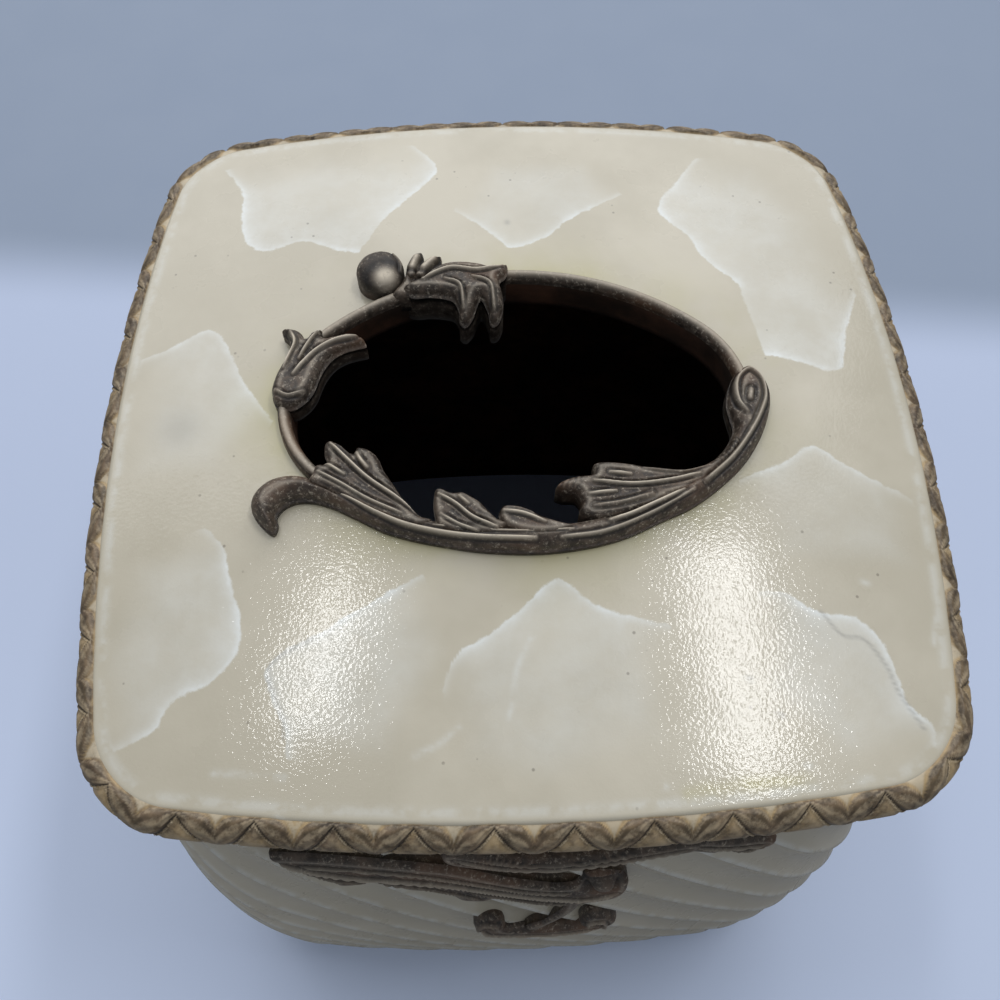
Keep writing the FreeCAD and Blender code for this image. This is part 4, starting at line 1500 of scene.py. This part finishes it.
SPROUTS = (
    Petal(outline=((-18.8, 25.6), (-19.3, 28.2), (-18.7, 30.2), (-17.7, 31.6), (-16.3, 31.9), (-16, 30.8),
                   (-16.9, 29), (-17.5, 26)),
          veins=(Vein(((-18, 28.2), (-17.3, 30.4)), 1.1, 0.3, 0.8),)),
    Petal(outline=((-17.5, 26), (-16.6, 28.9), (-14.8, 30.5), (-12.7, 30.8), (-13, 29.6), (-14.3, 28.3),
                   (-15.9, 25.8)),
          veins=(Vein(((-15.9, 28), (-14.2, 29.8)), 1.1, 0.3, 0.8),)),
)


@dataclass
class MouthWreath:
    """The stem, leaves, bud and curl round the mouth."""

    deck: Deck

    def carvings(self) -> dict[str, tuple[Carving, ...]]:
        """Carvings of each node."""
        return {
            "vine_stem": (STEM,), "leaf_left": (LEAF_LEFT,), "leaf_middle": (LEAF_MIDDLE,),
            "leaf_small": (LEAF_SMALL,), "leaf_right": (LEAF_RIGHT,), "left_bud": (LEFT_BUD,),
            "back_leaf": (BACK_LEAF,), "back_curl": (BACK_CURL, CURL_TAIL), "back_sprout": SPROUTS,
        }

    def build(self) -> None:
        """Build and dress the wreath."""
        finish = BronzePaint().make()
        for node, carvings in self.carvings().items():
            place_piece(node, carve(carvings, self.deck.off_deck), [finish])


SCROLL_STEM = Scroll(
    outline=((-43.5, 131.4), (-39, 132.6), (-33, 133), (-26, 132.5), (-19, 131.3), (-12.5, 129.5),
             (-8, 126.6), (-3.4, 123.5), (1.5, 120.8), (6.3, 119), (9.5, 120.5), (10.6, 124), (12.6, 125.6),
             (15.6, 123.8), (18, 119.5), (18.4, 114), (16.8, 110), (11.5, 107.8), (6, 107), (3.5, 108.8),
             (0.7, 109.8), (-2.5, 111.5), (-5.3, 113.6), (-7.3, 112), (-11.7, 112.5), (-13.5, 115.5),
             (-16, 118.2), (-20.6, 118.8), (-23.5, 120.8), (-26.8, 122.6), (-28.5, 121), (-33, 119.6),
             (-34.6, 122.4), (-38.4, 124.2), (-39.4, 126.4), (-42, 128.4)),
    veins=(Vein(((-41.4, 129.4), (-36, 127), (-29, 125.4), (-22, 124.8), (-13, 122.6), (-3.4, 117.6),
                 (4, 113.8), (11.6, 111.4), (16.4, 114)), 0.6, 0.7, 0.7),
           Vein(((-38, 129.6), (-28, 129.3), (-18, 127.6), (-8, 123), (1, 117.8), (8, 116)), 0.5, 0.5, 0.5),
           Vein(((-37, 125.6), (-33, 123), (-28, 123)), 0.45, 0.45, 0.4),
           Vein(((-26, 123), (-18, 120.8), (-11, 116.4), (-8, 113.6)), 0.45, 0.45, 0.4),
           Vein(((-10, 118.6), (-3, 114.2), (3, 110.4), (8, 108.8)), 0.45, 0.45, 0.4),
           Vein(((13.2, 120.2), (13.8, 119.8)), 2.6, 2.0, 0.2)),
    height=1.8, rounding=1.3)
SCROLL_CREST = Scroll(
    outline=((-14, 133.2), (-8, 130.2), (-3.4, 128.6), (3.6, 128), (10.4, 129), (17.2, 130.8),
             (22.5, 131.8), (28, 132.8), (28.5, 136), (20, 135.2), (12, 133.6), (4, 132.8), (-4, 134),
             (-9, 136), (-14, 137.6)),
    veins=(Vein(((-12, 135.2), (-4, 131.2), (4, 130), (12, 131), (20, 133), (26, 134.2)), 0.5, 0.5, 0.6),
           Vein(((-8, 134.6), (0, 132), (8, 131.8), (18, 134)), 0.4, 0.35, 0.4)),
    height=1.7, rounding=1.2)
SCROLL_LEAF = Scroll(
    outline=((26, 133.6), (29, 131.4), (31.6, 130.2), (33, 131.2), (35, 129.4), (38, 128.8), (41.3, 129.8),
             (42.2, 131.8), (40, 133.6), (34, 134.6), (28, 136.4)),
    veins=(Vein(((28, 134.4), (33, 132.4), (40, 131.4)), 0.5, 0.5, 0.6),
           Vein(((34, 131), (37, 130), (40, 130.4)), 0.4, 0.35, 0.4)),
    height=1.6, rounding=1.2)
SCROLL_DROP = Scroll(
    outline=((-10, 90), (-9.8, 86), (-8.4, 82.4), (-5, 80), (0, 79.2), (5.8, 78.8), (10.8, 79.6),
             (15.6, 81.6), (18.6, 86), (19, 90.5), (17, 93.6), (13.6, 95.6), (11.8, 91), (11.6, 88),
             (12.4, 85.8), (9.5, 84.2), (5, 83.6), (0, 83.6), (-3.2, 85.4), (-3.8, 89), (-4.6, 92.4),
             (-6.5, 94), (-9, 92.8)),
    veins=(Vein(((-8.4, 87), (-7, 83), (-2, 81.4), (4, 81), (10, 81.8), (14.8, 84.2)), 0.6, 0.6, 0.6),
           Vein(((-9, 87), (-9.2, 90.4), (-7.2, 92.8), (-5.2, 91), (-5.8, 88.6), (-7.2, 89.4)),
                0.55, 0.7, 0.3),
           Vein(((16.6, 84.8), (17, 88), (15.6, 92), (13.4, 91), (13.6, 88), (15, 88)), 0.55, 0.7, 0.5)),
    height=1.8, rounding=1.4)
SCROLL_LINK = Scroll(
    outline=((8.4, 107.5), (10.6, 107), (10, 101), (8.2, 95), (6, 89.5), (3.2, 83.5), (0.6, 83.5),
             (4.2, 90), (6.4, 96), (7.6, 101)),
    height=1.2, rounding=0.9)


@dataclass
class WallScrolls:
    """The scroll work on the four walls."""

    sleeve: Sleeve

    def build(self) -> None:
        """Build and dress the scrolls, once for the front and turned for the other walls."""
        finish = BronzePaint().make()
        drawings = {"scroll_stem": (SCROLL_STEM,), "scroll_crest": (SCROLL_CREST,),
                    "scroll_drop": (SCROLL_DROP, SCROLL_LINK), "scroll_leaf": (SCROLL_LEAF,)}
        for name, carvings in drawings.items():
            form = carve(carvings, self.sleeve.off_wall)
            for wall in Wall:
                place_piece(f"{wall.name.lower()}_{name}", form.turned(wall), [finish])


@dataclass(frozen=True)
class Gleam:
    """A lamp's mirror image on the deck: where it starts and ends, and the lamp's width in metres."""

    start: tuple[float, float]
    end: tuple[float, float]
    width: float


@dataclass
class Studio:
    """Floor, lamps and camera."""

    deck: Deck
    eye: tuple[float, float, float] = (-6.5, -88.3, 300.2)
    pitch: float = 63.39
    yaw: float = -2.61
    roll: float = 0.94
    lens: float = 34.0
    sensor: float = 36.0
    near_clip: float = 0.01
    floor_half: float = 3.0
    world: Colour = (0.88, 0.93, 1.0, 1)
    world_strength: float = 0.37
    ceiling_power: float = 20.3
    ceiling_width: float = 2.4
    ceiling_ends: tuple[Vector, Vector] = (Vector((-0.10, 0.60, 1.55)), Vector((-0.10, 2.10, 1.20)))
    gleam_glow: float = 52.0
    gleam_distance: float = 1.1
    gleams: tuple[Gleam, ...] = (Gleam((-28.0, -30.3), (-34.6, -56.2), 0.07),
                                 Gleam((30.9, -26.5), (33.4, -65.6), 0.11))

    def camera(self) -> None:
        """Set the camera at the photograph's viewing angle."""
        data = bpy.data.cameras.new("photo_view")
        data.lens, data.sensor_width, data.clip_start = self.lens, self.sensor, self.near_clip
        camera = bpy.data.objects.new("photo_view", data)
        bpy.context.collection.objects.link(camera)
        turn = Matrix.Rotation(math.radians(self.yaw), 3, "Z")
        tilt = Matrix.Rotation(math.radians(90 - self.pitch), 3, "X")
        rotation = turn @ tilt @ Matrix.Rotation(math.radians(self.roll), 3, "Z")
        camera.matrix_world = Matrix.Translation(Vector(self.eye) * MM) @ rotation.to_4x4()
        bpy.context.scene.camera = camera

    def softbox(self, name: str, ends: tuple[Vector, Vector], width: float, power: float) -> None:
        """Hang a soft lamp that faces the middle of the deck.

        Args:
            name: Name of the lamp.
            ends: Middles of its two short sides.
            width: Its width.
            power: Power in watts.
        """
        middle, along = (ends[0] + ends[1]) / 2, ends[1] - ends[0]
        data = bpy.data.lights.new(name, "AREA")
        data.shape, data.size, data.size_y, data.energy = "RECTANGLE", width, along.length, power
        lamp = bpy.data.objects.new(name, data)
        bpy.context.collection.objects.link(lamp)
        back = (middle - Vector((0, 0, self.deck.top * MM))).normalized()
        length = (along - along.dot(back) * back).normalized()
        turn = Matrix((length.cross(back), length, back)).transposed()
        lamp.matrix_world = Matrix.Translation(middle) @ turn.to_4x4()

    def mirrored(self, spot: tuple[float, float]) -> Vector:
        """Find what the camera sees mirrored in the deck.

        Args:
            spot: Place on the deck.

        Returns:
            The point at the distance of the gleam lamps.
        """
        here = Vector(self.deck.off_deck(np.array([spot]), np.zeros(1))[0]) * MM
        normal = Vector((spot[0] / self.deck.dome, spot[1] / self.deck.dome, 1)).normalized()
        ray = (here - Vector(self.eye) * MM).normalized()
        return here + (ray - 2 * ray.dot(normal) * normal) * self.gleam_distance

    def gleam_lamp(self, index: int, gleam: Gleam) -> None:
        """Hang a narrow lamp where the deck mirrors it to the camera.

        Args:
            index: Number of the lamp.
            gleam: The gleam that it makes.
        """
        ends = (self.mirrored(gleam.start), self.mirrored(gleam.end))
        area = gleam.width * (ends[1] - ends[0]).length
        self.softbox(f"gleam_{index}", ends, gleam.width, self.gleam_glow * area)

    def floor(self) -> None:
        """Lay the floor."""
        half = self.floor_half
        corners = [(-half, -half, 0), (half, -half, 0), (half, half, 0), (-half, half, 0)]
        mesh = bpy.data.meshes.new("floor")
        mesh.from_pydata(corners, [], [(0, 1, 2, 3)])
        mesh.materials.append(FloorPaper().make())
        floor = bpy.data.objects.new("floor", mesh)
        bpy.context.collection.objects.link(floor)

    def build(self) -> None:
        """Set up the studio."""
        scene = bpy.context.scene
        scene.view_settings.view_transform = "Standard"
        world = bpy.data.worlds.new("soft_room")
        scene.world = world
        world.use_nodes = True
        background = world.node_tree.nodes["Background"]
        background.inputs["Color"].default_value = self.world
        background.inputs["Strength"].default_value = self.world_strength
        self.floor()
        self.softbox("ceiling", self.ceiling_ends, self.ceiling_width, self.ceiling_power)
        for index, gleam in enumerate(self.gleams):
            self.gleam_lamp(index, gleam)
        self.camera()


def main() -> None:
    """Build the cover and its studio."""
    logging.basicConfig(level=logging.INFO, format="%(message)s")
    sleeve = Sleeve()
    deck = Deck(sleeve)
    ornaments = (RibbonBorder(deck), MouthRing(deck), MouthWreath(deck), WallScrolls(sleeve))
    for assembly in (sleeve, deck, *ornaments):
        assembly.build()
    Studio(deck).build()


if __name__ == "__main__":
    main()
